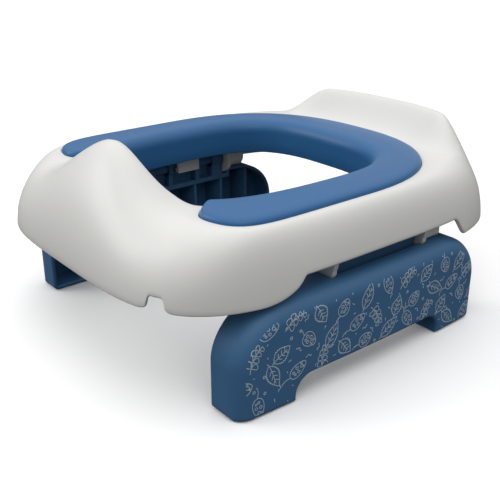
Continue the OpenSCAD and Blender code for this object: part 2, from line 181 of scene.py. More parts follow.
@dataclass
class Surface:
    """Points in millimetres and the faces between them.

    Attributes:
        points: places, of shape (n, 3).
        faces: arrays of point numbers, each of shape (faces, corners).
    """

    points: np.ndarray
    faces: list[np.ndarray]

    @staticmethod
    def grid(
        points: np.ndarray, close_rows: bool = False, close_columns: bool = False
    ) -> "Surface":
        """A sheet of quads over a grid of points, closed along either way if asked.

        Args:
            points: places, of shape (rows, columns, 3).
            close_rows: join the last row to the first.
            close_columns: join the last column to the first.

        Returns:
            The sheet.
        """
        n, m = points.shape[:2]
        number = np.arange(n * m).reshape(n, m)
        if close_rows:
            number = np.vstack([number, number[:1]])
        if close_columns:
            number = np.hstack([number, number[:, :1]])
        quads = np.stack([number[:-1, :-1], number[1:, :-1], number[1:, 1:], number[:-1, 1:]], -1)
        return Surface(points.reshape(-1, 3), [quads.reshape(-1, 4)])

    @staticmethod
    def join(parts: list["Surface"]) -> "Surface":
        """Several surfaces as one, with their point numbers moved on."""
        starts = np.cumsum([0] + [len(p.points) for p in parts])
        faces = [f + start for p, start in zip(parts, starts) for f in p.faces]
        return Surface(np.vstack([p.points for p in parts]), faces)

    @staticmethod
    def prism(outline: np.ndarray, axis: int, low: float, high: float) -> "Surface":
        """A closed outline carried straight along an axis.

        Args:
            outline: corners in the two other axes, in order, of shape (n, 2).
            axis: the axis it is carried along.
            low: where it starts.
            high: where it ends.

        Returns:
            The closed solid: the same corners at both ends, with quads between.
        """
        n = len(outline)
        points = np.empty((2, n, 3))
        others = [i for i in range(3) if i != axis]
        points[:, :, others] = outline
        points[0, :, axis], points[1, :, axis] = low, high
        body = Surface.grid(points, close_columns=True)
        caps = [np.arange(n)[None, ::-1], np.arange(n, 2 * n)[None]]
        return Surface(body.points, body.faces + caps)

    @staticmethod
    def box(x: tuple, y: tuple, z: tuple) -> "Surface":
        """A box between two places on each axis."""
        square = np.array([[x[0], y[0]], [x[1], y[0]], [x[1], y[1]], [x[0], y[1]]], float)
        return Surface.prism(square, 2, z[0], z[1])

    @staticmethod
    def rod(centre: tuple, y: tuple, radius: float, sides: int = 40) -> "Surface":
        """A round rod along y, with its axis at centre (x, z)."""
        t = np.linspace(0, 2 * math.pi, sides, endpoint=False)
        ring = np.stack([centre[0] + radius * np.cos(t), centre[1] + radius * np.sin(t)], 1)
        return Surface.prism(ring, 1, min(y), max(y))

    def on(self, side: Side) -> "Surface":
        """The surface on the right as it is, or its mirror image on the left."""
        if side is Side.RIGHT:
            return self
        return Surface(self.points * (-1, 1, 1), [f[:, ::-1] for f in self.faces])

    def build(self, name: str, crease: float = CREASE, outward: bool = True) -> bpy.types.Object:
        """Puts the surface into a new object, smooth apart from its creases.

        Args:
            name: the object's name.
            crease: edges bent more than this many degrees stay sharp.
            outward: turn each closed part's faces outwards.

        Returns:
            The object, linked to the scene.
        """
        mesh = bpy.data.meshes.new(name)
        mesh.vertices.add(len(self.points))
        mesh.vertices.foreach_set("co", (self.points * MM).astype(np.float32).ravel())
        corners = np.concatenate([f.ravel() for f in self.faces])
        sizes = np.concatenate([np.full(len(f), f.shape[1]) for f in self.faces])
        mesh.loops.add(len(corners))
        mesh.loops.foreach_set("vertex_index", corners.astype(np.int32))
        mesh.polygons.add(len(sizes))
        mesh.polygons.foreach_set("loop_start", (np.cumsum(sizes) - sizes).astype(np.int32))
        mesh.update(calc_edges=True)
        mesh.validate()
        if outward:
            with editing(mesh, mesh) as edited:
                bmesh.ops.recalc_face_normals(edited, faces=edited.faces)
        shade(mesh, crease)
        return placed(name, mesh)


def apply_modifiers(obj: bpy.types.Object) -> None:
    """Replaces an object's mesh by the one that its modifiers make."""
    depsgraph = bpy.context.evaluated_depsgraph_get()
    mesh = bpy.data.meshes.new_from_object(obj.evaluated_get(depsgraph))
    obj.modifiers.clear()
    obj.data = mesh


def soften_edges(
    obj: bpy.types.Object, width: float, segments: int = 2, crease: float = CREASE
) -> None:
    """Rounds an object's sharp edges.

    Args:
        obj: the object.
        width: how far the rounding reaches from each edge, in millimetres.
        segments: faces across each rounding.
        crease: edges bent less than this many degrees are left.
    """
    bevel = obj.modifiers.new("soft_edges", "BEVEL")
    bevel.width = width * MM
    bevel.segments = segments
    bevel.limit_method = "ANGLE"
    bevel.angle_limit = math.radians(crease)
    apply_modifiers(obj)
    shade(obj.data, crease)


def cut_away(obj: bpy.types.Object, cutters: list[Surface]) -> None:
    """Cuts closed shapes out of an object.

    Args:
        obj: the object to cut.
        cutters: the shapes to take away.
    """
    for i, cutter in enumerate(cutters):
        tool = cutter.build(f"cutter_{i}")
        cut = obj.modifiers.new("cut", "BOOLEAN")
        cut.operation = "DIFFERENCE"
        cut.solver = "EXACT"
        cut.object = tool
        apply_modifiers(obj)
        bpy.data.objects.remove(tool)


def join_objects(objects: list[bpy.types.Object], name: str) -> bpy.types.Object:
    """Several objects as one mesh, with its own name."""
    joined = bmesh.new()
    for obj in objects:
        joined.from_mesh(obj.data)
    mesh = bpy.data.meshes.new(name)
    joined.to_mesh(mesh)
    joined.free()
    for obj in objects:
        bpy.data.objects.remove(obj)
    shade(mesh, CREASE)
    return placed(name, mesh)


def rounded_copy(node: str, name: str, width: float) -> bpy.types.Object:
    """A copy of a CAD node with its edges rounded, to stand for the node.

    Args:
        node: the CAD node.
        name: the new object's name.
        width: how far the rounding reaches from each edge, in millimetres.

    Returns:
        The copy, linked to the scene.
    """
    mesh = bpy.data.meshes.new(name)
    with editing(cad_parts[node].data, mesh) as edited:
        bmesh.ops.remove_doubles(edited, verts=edited.verts, dist=0.01 * MM)
        bmesh.ops.dissolve_limit(
            edited, angle_limit=math.radians(1), verts=edited.verts, edges=edited.edges,
            delimit={"NORMAL"},
        )
    obj = placed(name, mesh)
    soften_edges(obj, width, crease=34)
    return obj


# Finishes


class Nodes:
    """A short way to add and join the nodes of a material or group."""

    def __init__(self, tree: bpy.types.NodeTree) -> None:
        """Args: tree: the tree that the nodes go into."""
        self.tree = tree

    def add(self, kind: str, values: dict | None = None, **settings: object) -> bpy.types.Node:
        """Adds a node.

        Args:
            kind: the node's type name, without its ShaderNode prefix.
            values: what each input holds, or the output socket that feeds it.
            settings: the node's own properties.

        Returns:
            The node.
        """
        node = self.tree.nodes.new("ShaderNode" + kind)
        for key, value in settings.items():
            setattr(node, key, value)
        for key, value in (values or {}).items():
            if isinstance(value, bpy.types.NodeSocket):
                self.tree.links.new(value, node.inputs[key])
            else:
                node.inputs[key].default_value = value
        return node

    def maths(self, operation: str, a: object, b: object = 0.0) -> bpy.types.NodeSocket:
        """The output of a Math node."""
        return self.add("Math", {0: a, 1: b}, operation=operation).outputs[0]

    def blend(self, factor: object, a: object, b: object) -> bpy.types.NodeSocket:
        """The output of a node that mixes two colours."""
        return self.add("Mix", {0: factor, 6: a, 7: b}, data_type="RGBA").outputs[2]


def shader_group(name: str, inputs: dict[str, float | tuple], outputs: dict[str, str]) -> tuple:
    """Starts a shader node group, or finds it if it is there already.

    Args:
        name: the group's name.
        inputs: each input's name and default, a number or a colour.
        outputs: each output's name and socket type.

    Returns:
        The group, its Nodes helper, its input node and its output node; the last three are
        None where the group was there already.
    """
    found = bpy.data.node_groups.get(name)
    if found:
        return found, None, None, None
    group = bpy.data.node_groups.new(name, "ShaderNodeTree")
    for key, value in inputs.items():
        kind = "NodeSocketColor" if isinstance(value, tuple) else "NodeSocketFloat"
        socket = group.interface.new_socket(key, in_out="INPUT", socket_type=kind)
        socket.default_value = value
    for key, kind in outputs.items():
        group.interface.new_socket(key, in_out="OUTPUT", socket_type=kind)
    ends = [group.nodes.new(kind) for kind in ("NodeGroupInput", "NodeGroupOutput")]
    return group, Nodes(group), *ends


def moulded_group() -> bpy.types.NodeTree:
    """The group for moulded surfaces: colour drift, fine grain, worn edges and gloss drift.

    Returns:
        A group with inputs Colour, Worn Colour, Drift, Grain Size, Grain, Wear, Rough and Gloss
        Drift, and outputs Colour, Rough and Height. The colour drifts with a slow noise, and
        turns to the worn colour on bent edges; the height adds a fine noise, a broad wave and a
        pit pattern.
    """
    group, n, ins, outs = shader_group(
        "moulded_surface",
        {
            "Colour": (0.8, 0.8, 0.8, 1.0),
            "Worn Colour": (0.9, 0.9, 0.9, 1.0),
            "Drift": 0.05,
            "Grain Size": 2500.0,
            "Grain": 0.5,
            "Wear": 0.2,
            "Rough": 0.4,
            "Gloss Drift": 0.08,
        },
        {"Colour": "NodeSocketColor", "Rough": "NodeSocketFloat", "Height": "NodeSocketFloat"},
    )
    if n is None:
        return group
    where = n.add("TexCoord").outputs["Object"]
    slow = n.add("TexNoise", {"Vector": where, "Scale": 14.0, "Detail": 3.0}).outputs["Fac"]
    medium = n.add("TexNoise", {"Vector": where, "Scale": 160.0, "Detail": 4.0}).outputs["Fac"]
    fine = n.add(
        "TexNoise", {"Vector": where, "Scale": ins.outputs["Grain Size"], "Detail": 2.0}
    ).outputs["Fac"]
    pits = n.add(
        "TexVoronoi", {"Vector": where, "Scale": ins.outputs["Grain Size"]}, feature="SMOOTH_F1"
    ).outputs["Distance"]
    cloud = n.maths("ADD", n.maths("MULTIPLY", slow, 0.65), n.maths("MULTIPLY", medium, 0.35))
    swing = n.maths("MULTIPLY", n.maths("SUBTRACT", cloud, 0.5), ins.outputs["Drift"])
    bright = n.maths("ADD", 1.0, n.maths("MULTIPLY", swing, 2.0))
    toned = n.add("HueSaturation", {"Color": ins.outputs["Colour"], "Value": bright}).outputs[0]
    bent = n.add("NewGeometry").outputs["Pointiness"]
    edge = n.add("MapRange", {"Value": bent, "From Min": 0.53, "From Max": 0.62}).outputs[0]
    patchy = n.add("MapRange", {"Value": medium, "From Min": 0.42, "From Max": 0.62}).outputs[0]
    worn = n.maths("MULTIPLY", n.maths("MULTIPLY", edge, patchy), ins.outputs["Wear"])
    colour = n.blend(worn, toned, ins.outputs["Worn Colour"])
    speck = n.maths("ADD", n.maths("MULTIPLY", fine, 0.6), n.maths("MULTIPLY", pits, 0.4))
    height = n.maths("MULTIPLY", speck, ins.outputs["Grain"])
    waves = n.maths("MULTIPLY", medium, 0.25)
    drifted = n.maths("MULTIPLY", n.maths("SUBTRACT", cloud, 0.5), ins.outputs["Gloss Drift"])
    rough = n.maths("ADD", ins.outputs["Rough"], n.maths("MULTIPLY", drifted, 2.0))
    n.tree.links.new(colour, outs.inputs["Colour"])
    n.tree.links.new(rough, outs.inputs["Rough"])
    n.tree.links.new(n.maths("ADD", height, waves), outs.inputs["Height"])
    return group


@dataclass(frozen=True)
class Finish:
    """A moulded, rubber or metal finish.

    Attributes:
        name: the material's name.
        slot: the record's material slot that it belongs to; not used.
        colour: the base colour, linear.
        worn: the colour of worn edges, linear.
        rough: the mean roughness.
        drift: how far the colour drifts.
        gloss_drift: how far the roughness drifts.
        grain_size: how fine the grain is, in cells a metre.
        grain: how much of the height is grain.
        bump: the height of the surface detail, in metres.
        wear: how strongly the edges are worn.
        metallic: 1 for metal.
        subsurface: how far the body glows through.
        specular: level of the plain reflection.
        sheen: weight of the soft velvet sheen.
    """

    name: str
    slot: str
    colour: tuple
    worn: tuple
    rough: float
    drift: float = 0.05
    gloss_drift: float = 0.1
    grain_size: float = 2500.0
    grain: float = 0.5
    bump: float = 0.00004
    wear: float = 0.25
    metallic: float = 0.0
    subsurface: float = 0.0
    specular: float = 0.5
    sheen: float = 0.0

    def material(self) -> bpy.types.Material:
        """The finish's material, made the first time it is asked for.

        Returns:
            A Principled BSDF fed by the moulded-surface group.
        """
        found = bpy.data.materials.get(self.name)
        if found:
            return found
        material = bpy.data.materials.new(self.name)
        material.use_nodes = True
        material.node_tree.nodes.clear()
        n = Nodes(material.node_tree)
        skin = n.tree.nodes.new("ShaderNodeGroup")
        skin.node_tree = moulded_group()
        settings = {
            "Colour": (*self.colour, 1.0),
            "Worn Colour": (*self.worn, 1.0),
            "Drift": self.drift,
            "Grain Size": self.grain_size,
            "Grain": self.grain,
            "Wear": self.wear,
            "Rough": self.rough,
            "Gloss Drift": self.gloss_drift,
        }
        for key, value in settings.items():
            skin.inputs[key].default_value = value
        bump = n.add(
            "Bump", {"Height": skin.outputs["Height"], "Strength": 1.0, "Distance": self.bump}
        )
        shader = n.add(
            "BsdfPrincipled",
            {
                "Base Color": skin.outputs["Colour"],
                "Roughness": skin.outputs["Rough"],
                "Normal": bump.outputs[0],
                "Metallic": self.metallic,
                "Subsurface Weight": self.subsurface,
                "Subsurface Scale": 0.004,
                "Specular IOR Level": self.specular,
                "Sheen Weight": self.sheen,
                "Sheen Roughness": 0.4,
            },
        )
        out = n.add("OutputMaterial")
        n.tree.links.new(shader.outputs[0], out.inputs["Surface"])
        return material

    def dress(self, obj: bpy.types.Object) -> bpy.types.Object:
        """Gives every material slot of an object this finish.

        Args:
            obj: a new piece, or a CAD node that stays.

        Returns:
            The object.
        """
        material = self.material()
        if obj.material_slots:
            for place in obj.material_slots:
                place.material = material
        else:
            obj.data.materials.append(material)
        return obj


WHITE = Finish(
    "satin_white", "seat_plastic", (0.69, 0.688, 0.665), (0.8, 0.8, 0.78), 0.38,
    drift=0.02, grain_size=2600, grain=0.3, bump=0.00001, wear=0.15, subsurface=0.06, specular=0.6,
)
PAD_BLUE = Finish(
    "soft_blue", "soft_pad", (0.018, 0.112, 0.285), (0.04, 0.155, 0.35), 0.42,
    drift=0.06, grain_size=1900, grain=0.7, bump=0.00005, wear=0.25, specular=0.42, sheen=0.04,
)
LEG_BLUE = Finish(
    "leg_blue", "leg_plastic", (0.046, 0.138, 0.28), (0.09, 0.19, 0.34), 0.5,
    drift=0.07, grain_size=1500, grain=0.9, bump=0.00006, wear=0.3, specular=0.35,
)
INK = Finish(
    "pale_ink", "leg_plastic", (0.42, 0.50, 0.56), (0.5, 0.56, 0.6), 0.55,
    drift=0.25, grain_size=1300, grain=0.8, bump=0.00003, wear=0.2, specular=0.3,
)
STEEL = Finish(
    "bright_steel", "steel", (0.62, 0.63, 0.65), (0.8, 0.8, 0.8), 0.3,
    drift=0.08, grain_size=3000, grain=0.6, bump=0.00002, wear=0.4, metallic=1.0,
)
RUBBER = Finish(
    "foot_grip", "foot_rubber", (0.02, 0.028, 0.045), (0.06, 0.07, 0.08), 0.75,
    drift=0.15, grain_size=900, grain=1.0, bump=0.00012, wear=0.35, specular=0.3,
)


def fit(obj: bpy.types.Object, finish: Finish, body: str, *nodes: str) -> bpy.types.Object:
    """Dresses a new piece, makes it ride on its body and stand for its CAD nodes.

    Args:
        obj: the piece.
        finish: its finish.
        body: the CAD body that it moves with.
        nodes: the CAD nodes that it stands for.

    Returns:
        The piece.
    """
    finish.dress(obj)
    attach(obj, body)
    if nodes:
        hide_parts(*nodes)
    LOG.info("%s rides on %s and stands for %s", obj.name, body, ", ".join(nodes) or "no node")
    return obj


# Seat


@dataclass(frozen=True)
class SeatForm:
    """Sizes of the seat, and the outlines and heights that its shell and pad share.

    Each outline is a radius around the vertical axis at a turn, in millimetres. A field that
    ends in _n is the exponent of an outline, or of a rise.
    """

    width: float = 278
    length: float = 325
    deck_z: float = 119.5
    skirt_z: float = 73
    side_z: float = 87
    wall: float = 3
    guard_rise: float = 31.5
    lip_rise: float = 23
    hole_w: float = 164
    hole_front: float = 113.5
    hole_rear: float = 80
    collar_z: float = 97
    pad_w: float = 239
    pad_front: float = 112
    pad_rear: float = 121.5
    pad_rise: float = 4
    lining: float = 2.6
    ledge_z: float = 115.5
    under_z: float = 111.5
    pad_end: float = 36.5
    end_round: float = 6
    end_round_span: float = 3
    crest_rear: float = 156
    crest_n: float = 2.7
    crest_margin: float = 2
    guard_rim: float = 2.1
    guard_span: float = 33.5
    guard_n: float = 1.8
    rim_n: float = 1.5
    lip_flat: float = 23
    lip_end: float = 39.5
    skirt_n: float = 4
    hole_front_n: float = 3.1
    hole_rear_n: float = 3
    pad_front_n: float = 8
    pad_rear_n: float = 2.45

    def oval(
        self, turn: np.ndarray, half_w: float, front: float, rear: float,
        n_front: float, n_rear: float,
    ) -> np.ndarray:
        """A superellipse as a radius: (|x|/half width)^n + (|y|/reach)^n = 1, n higher for squarer.

        Args:
            turn: turns from the front, in degrees.
            half_w: reach along x.
            front: reach towards the front.
            rear: reach towards the rear.
            n_front: exponent in the front half.
            n_rear: exponent in the rear half.

        Returns:
            The radius at each turn.
        """
        a = np.radians(turn)
        ahead = np.cos(a) > 0
        reach, n = np.where(ahead, front, rear), np.where(ahead, n_front, n_rear)
        return ((np.abs(np.sin(a)) / half_w) ** n + (np.abs(np.cos(a)) / reach) ** n) ** (-1 / n)

    def away(self, turn: np.ndarray) -> np.ndarray:
        """How far a turn is from the front, from 0 to 180 degrees."""
        return np.abs((turn + 180) % 360 - 180)

    def skirt(self, turn: np.ndarray) -> np.ndarray:
        """The outermost edge, at the bottom of the skirt."""
        half = self.length / 2
        return self.oval(turn, self.width / 2, half, half, self.skirt_n, self.skirt_n)

    def hole(self, turn: np.ndarray) -> np.ndarray:
        """The opening."""
        return self.oval(
            turn, self.hole_w / 2, self.hole_front, self.hole_rear,
            self.hole_front_n, self.hole_rear_n,
        )

    def pad_oval(self, turn: np.ndarray) -> np.ndarray:
        """The pad's outline without its rounded ends."""
        return self.oval(
            turn, self.pad_w / 2, self.pad_front, self.pad_rear, self.pad_front_n, self.pad_rear_n
        )

    def to_guard(self, turn: np.ndarray, edge: np.ndarray) -> np.ndarray:
        """An edge beside the pad, carried on in front of it to the guard's rim."""
        a = self.away(turn)
        least = self.hole(turn) + self.guard_rim
        rim = np.maximum(least, mix(least, edge, smooth(0, self.pad_end, a) ** self.rim_n))
        return np.where(a >= self.pad_end - 1e-9, edge, rim)

    def groove(self, turn: np.ndarray) -> np.ndarray:
        """The outer edge of the pad's groove, and of the guard's flat rim in front of the pad."""
        near = 1 - np.clip((self.away(turn) - self.pad_end) / self.end_round_span, 0, 1)
        edge = self.pad_oval(turn) - self.end_round * (1 - np.sqrt(1 - near**2))
        return self.to_guard(turn, edge)

    def crest(self, turn: np.ndarray) -> np.ndarray:
        """The highest line of the shell around the pad."""
        least = self.to_guard(turn, self.pad_oval(turn)) + self.crest_margin
        half = self.pad_w / 2 + self.crest_margin
        crest = self.oval(turn, half, 1, self.crest_rear, self.crest_n, self.crest_n)
        rear = np.maximum(least, crest)
        return np.where(np.cos(np.radians(turn)) >= 0, least, rear)

    def guard(self, turn: np.ndarray) -> np.ndarray:
        """How much of the splash guard stands at a turn: a power of a cosine around the front."""
        a = np.minimum(self.away(turn) / self.guard_span, 1)
        return np.maximum(np.cos(np.radians(90 * a)), 0) ** self.guard_n

    def lip(self, turn: np.ndarray) -> np.ndarray:
        """How much of the rear lip stands at a turn: flat at the back, then a soft step down."""
        return 1 - smooth(self.lip_flat, self.lip_end, 180 - self.away(turn))

    def crest_z(self, turn: np.ndarray) -> np.ndarray:
        """The height of the crest."""
        return self.deck_z + self.guard_rise * self.guard(turn) + self.lip_rise * self.lip(turn)

    def rim_z(self, turn: np.ndarray) -> np.ndarray:
        """The height at the groove."""
        return self.deck_z + (self.guard_rise - 0.5) * self.guard(turn)

    def round_z(self, turn: np.ndarray, section: np.ndarray) -> np.ndarray:
        """Sections of [radius, height] at their turns as points.

        Args:
            turn: turns, of shape (n,).
            section: sections, of shape (n, k, 2).

        Returns:
            Points of shape (n, k, 3): x is the radius times the sine of the turn, y is the
            radius times the cosine, towards the front.
        """
        a = np.radians(turn)[:, None]
        r, z = section[..., 0], section[..., 1]
        return np.stack([r * np.sin(a), -r * np.cos(a), z], -1)


@dataclass
class SeatShell:
    """The white seat moulding: skirt, shoulder, splash guard, rear lip, groove and collar.

    The notch fields size the slits in the skirt's lower edge at its front corners, and the flare
    fields how the edge rises beside a slit. The cut fields size the openings over the legs. The
    pull fields say how far out the shoulder's curve keeps level, less at the guard and at the
    lip. The lean is how far in the skirt's lower control point stands, in millimetres, and the
    waist is that point's height, as a share of the skirt's.
    """

    form: SeatForm = field(default_factory=SeatForm)
    step: float = 0.5
    notch_turn: float = 32.2
    notch_half: float = 2.1
    notch_rise: float = 9
    edge_round: float = 1.4
    cut_front: float = -69
    cut_run: float = 34
    cut_rear: float = 79.5
    cut_ramp: float = 14
    cut_steep: float = 1.25
    cut_round: float = 2.5
    flare_rise: float = 2.4
    flare_run: float = 0.3
    shoulder_pull: float = 0.6
    guard_pull: float = 0.3
    lip_pull: float = 0.18
    lean: float = 1.5
    waist: float = 0.55
    lip_hollow: tuple = (5.5, -5)

    def turns(self) -> tuple[np.ndarray, np.ndarray]:
        """The turns of the columns beside the pad, and of those in front of it.

        Returns:
            Both arrays, close together where the pad ends and at the notches.
        """
        f = self.form
        fine = f.pad_end + np.arange(0, f.end_round_span + 0.01, 0.25)
        rest = np.arange(fine[-1] + self.step, 360 - fine[-1] - self.step / 2, self.step)
        beside = np.concatenate([fine, rest, 360 - fine[::-1]])
        reach, notch = f.pad_end - 0.5, self.notch_turn
        half = self.notch_half + 0.6
        near = notch + half * np.sin(np.radians(np.linspace(-90, 90, 49)))
        middle = np.linspace(-(notch - half), notch - half, 61)[1:-1]
        ends = np.linspace(notch + half, reach, 8)[1:]
        side = np.concatenate([near, ends])
        return beside, np.concatenate([-side[::-1], middle, side])

    def edge_z(self, turn: np.ndarray) -> np.ndarray:
        """The height of the skirt's bottom edge.

        Args:
            turn: turns from the front.

        Returns:
            The skirt's height, raised along the sides. The front end of each side cut-out is a
            quarter ellipse with a small rounded inner corner, and its rear end a soft step.
            Beside the front corners a rounded notch for the liner's strap is cut up into it.
        """
        f = self.form
        y = -f.skirt(turn) * np.cos(np.radians(turn))
        u = np.clip((y - self.cut_front) / self.cut_run + 1, 0, 1)
        most = f.side_z - f.skirt_z
        rise = most * self.cut_steep * (1 - np.sqrt(1 - u**2))
        front = soft_min(rise, np.full_like(rise, most), self.cut_round)
        rear = most * (1 - smooth(self.cut_rear, self.cut_rear + self.cut_ramp, y))
        sides = f.skirt_z + np.where(y < 0, front, rear)
        v = np.abs(self.away_from_notch(turn)) / self.notch_half
        notch = self.notch_rise * np.clip(1 - v**6, 0, 1) ** 0.5
        flare = self.flare_rise * np.exp(-(v - 1) / self.flare_run)
        return sides + np.where(v > 1, flare, np.maximum(notch, self.flare_rise))

    def away_from_notch(self, turn: np.ndarray) -> np.ndarray:
        """How far a turn is from the nearest notch, in degrees."""
        return self.form.away(turn) - self.notch_turn

    def skirt_curve(self, turn: np.ndarray, inset: float) -> np.ndarray:
        """Control points from the skirt's bottom to the crest, moved in by an inset."""
        f = self.form
        s, c, h, low = f.skirt(turn), f.crest(turn), f.crest_z(turn), f.skirt_z
        lip = f.lip(turn)
        bend = self.shoulder_pull - self.guard_pull * f.guard(turn) - self.lip_pull * lip
        pull = (s - c) * bend
        return columns(
            (s - inset, low),
            (s - self.lean * (1 + lip) - inset, low + self.waist * (h - low) - inset / 2),
            (c + pull - inset, h - inset),
            (c - mix(0.25, 1, lip) * inset, h - inset),
        )

    def rim_curve(self, turn: np.ndarray) -> np.ndarray:
        """Control points from the crest in and down to the groove."""
        f = self.form
        c, g, h, low = f.crest(turn), f.groove(turn) + 0.9, f.crest_z(turn), f.rim_z(turn)
        return columns((c, h), (c - 0.25 * (c - g), h), (mix(g, c, 0.45), low), (g, low))

    def section(self, turn: np.ndarray, has_pad: bool) -> np.ndarray:
        """Closed sections of the shell, outside first, then the groove and collar, then inside.

        Args:
            turn: turns, of shape (n,).
            has_pad: whether the sections hold the pad's groove or the guard's bare rim.

        Returns:
            Sections of [radius, height], of shape (n, k, 2).
        """
        f = self.form
        g, hole, rim_z = f.groove(turn), f.hole(turn), f.rim_z(turn)
        edge = self.edge_z(turn) + self.edge_round
        outer, inner = self.skirt_curve(turn, 0), self.skirt_curve(turn, f.wall)
        start_out, start_in = place_at_height(outer, edge), place_at_height(inner, edge)
        spread = np.linspace(0, 1, 27)
        skirt = bezier(outer, mix(start_out[:, None], 1, spread))
        rim = bezier(self.rim_curve(turn), np.linspace(0, 1, 15)[1:])
        if has_pad:
            hole = hole + f.lining
            floor, hang = f.under_z, f.under_z
            steps = columns(
                (g + 0.4, rim_z - 0.1), (g + 0.1, rim_z - 0.4), (g, rim_z - 0.9),
                (g, f.ledge_z + 0.05), (g - 0.05, f.ledge_z), (mix(g, hole, 0.5), f.ledge_z),
                (hole + 0.05, f.ledge_z),
                (hole, f.ledge_z - 0.05), (hole, f.collar_z + 8), (hole, f.collar_z + 0.7),
            )
        else:
            floor = rim_z - 1 - f.wall
            hang = floor - 0.5
            fall = columns(
                (g + 0.9, rim_z), (mix(hole, g, 0.4), rim_z), (hole, rim_z - 1), (hole, rim_z - 4)
            )
            steps = bezier(fall, np.linspace(0, 1, 11)[1:-1])
            steps = np.concatenate([steps, columns((hole, f.collar_z + 0.7))], 1)
        far = hole + f.wall
        collar = columns(
            (hole + 0.2, f.collar_z + 0.2), (hole + 0.7, f.collar_z), (far - 0.7, f.collar_z),
            (far - 0.2, f.collar_z + 0.2), (far, f.collar_z + 0.7), (far, floor),
            (np.maximum(g, far + 0.6), floor),
        )
        c = inner[:, 3]
        last = np.stack(np.broadcast_arrays(g + f.wall, hang), -1)
        near = mix(last, c, 0.35) + f.lip(turn)[:, None] * self.lip_hollow
        knee = np.stack([mix(g, c[:, 0], 0.8), c[:, 1] - 0.2], -1)
        under = np.stack([last, near, knee, c], 1)
        below = bezier(under, np.linspace(0, 1, 9)[1:])
        inside = bezier(inner, mix(start_in[:, None], 1, spread[::-2]))[:, 1:]
        out_r, in_r = skirt[:, 0, 0], inside[:, -1, 0]
        t = np.radians(np.linspace(0, 180, 8)[1:-1])
        arc_r = mix(out_r, in_r, 0.5)[:, None] - (out_r - in_r)[:, None] / 2 * np.cos(t)
        arc_z = edge[:, None] - self.edge_round * np.sin(t)
        arc = np.stack([arc_r, arc_z], -1)
        return np.concatenate([skirt, rim, steps, collar, below, inside, arc], 1)

    def build(self) -> bpy.types.Object:
        """Builds the shell, dresses it and sets it on the seat.

        Returns:
            The finished piece.
        """
        f = self.form
        beside, front = self.turns()
        rings = [
            f.round_z(beside, self.section(beside, True)),
            f.round_z(front, self.section(front, False)),
        ]
        shell = Surface.grid(np.concatenate(rings), close_rows=True, close_columns=True)
        return fit(shell.build("seat_moulding", crease=50), WHITE, "seat", "seat_shell")


@dataclass
class SoftPad:
    """The soft blue pad: a crowned ring that lies in the groove and lines the collar."""

    form: SeatForm = field(default_factory=SeatForm)
    gap: float = 0.15
    end_gap: float = 0.3
    tip_round: float = 3.4
    crown: float = 1.1
    round_out: float = 9
    round_in: float = 10

    def turns(self) -> np.ndarray:
        """The turns of the pad's columns, closer together at its two tips."""
        f = self.form
        first = f.pad_end + self.end_gap
        near = first + 4 * (1 - np.cos(np.radians(np.linspace(0, 90, 15))))
        rest = np.arange(near[-1] + 0.6, 360 - near[-1] - 0.3, 0.6)
        return np.concatenate([near, rest, 360 - near[::-1]])

    def section(self, turn: np.ndarray) -> np.ndarray:
        """Closed sections of the pad.

        Args:
            turn: turns, of shape (n,).

        Returns:
            Sections of [radius, height], of shape (n, k, 2). The top is a low crown between a
            rounded outer edge and a rounded inner edge that runs down as the lining. Near each
            tip the section shrinks along a quarter circle, so that the tip is round.
        """
        f = self.form
        hole, groove = f.hole(turn), f.groove(turn) - self.gap
        along = np.radians(f.away(turn) - f.pad_end - self.end_gap) * (hole + groove) / 2
        left = np.clip(1 - along / self.tip_round, 0, 1)
        shrink = self.tip_round * (1 - np.sqrt(1 - 0.92 * left**2))
        g, h = groove - shrink, hole + 0.5 * shrink
        width = g - h
        ro, ri = np.minimum(self.round_out, 0.35 * width), np.minimum(self.round_in, 0.35 * width)
        top = f.deck_z + f.pad_rise - shrink
        low, lining = f.collar_z - 1, f.lining - self.gap
        outer = columns(
            (g, np.minimum(f.deck_z - 1, top - 2)), (g + 0.3, top - 0.8),
            (g - 0.4 * ro, top), (g - ro, top),
        )
        t = np.linspace(0, 1, 13)
        ring = bezier(outer, t)
        across = np.linspace(0, 1, 11)[1:-1]
        middle_r = mix((g - ro)[:, None], (h + ri)[:, None], across)
        middle_z = np.broadcast_to(top[:, None], middle_r.shape)
        inner = columns((h + ri, top), (h + 0.45 * ri, top), (h, top - 0.35 * ri), (h, top - ri))
        fall = bezier(inner, t)
        over = np.concatenate([ring, np.stack([middle_r, middle_z], -1), fall], 1)
        share = np.clip((g[:, None] - over[..., 0]) / width[:, None], 0, 1)
        lift = np.sin(np.pi * share) ** 1.5 * self.crown
        over[..., 1] += lift
        foot = columns(
            (h, low + 9), (h, low + 0.9), (h + 0.25, low + 0.25), (h + 0.9, low),
            (hole + lining - 0.3, low), (hole + lining, low + 0.3),
            (hole + lining, f.ledge_z + 0.1), (mix(g, hole, 0.5), f.ledge_z + 0.1),
            (g - 0.3, f.ledge_z + 0.1), (g, f.ledge_z + 0.4),
        )
        return np.concatenate([over, foot], 1)

    def build(self) -> bpy.types.Object:
        """Returns:
            The finished piece.
        """
        turn = self.turns()
        rings = self.form.round_z(turn, self.section(turn))
        body = Surface.grid(rings, close_columns=True)
        n, m = rings.shape[:2]
        caps = [np.arange(m)[None], np.arange((n - 1) * m, n * m)[None, ::-1]]
        pad = Surface(body.points, body.faces + caps).build("soft_seat_pad", crease=60)
        fit(pad, PAD_BLUE, "seat", "seat_pad")
        return pad


# Legs


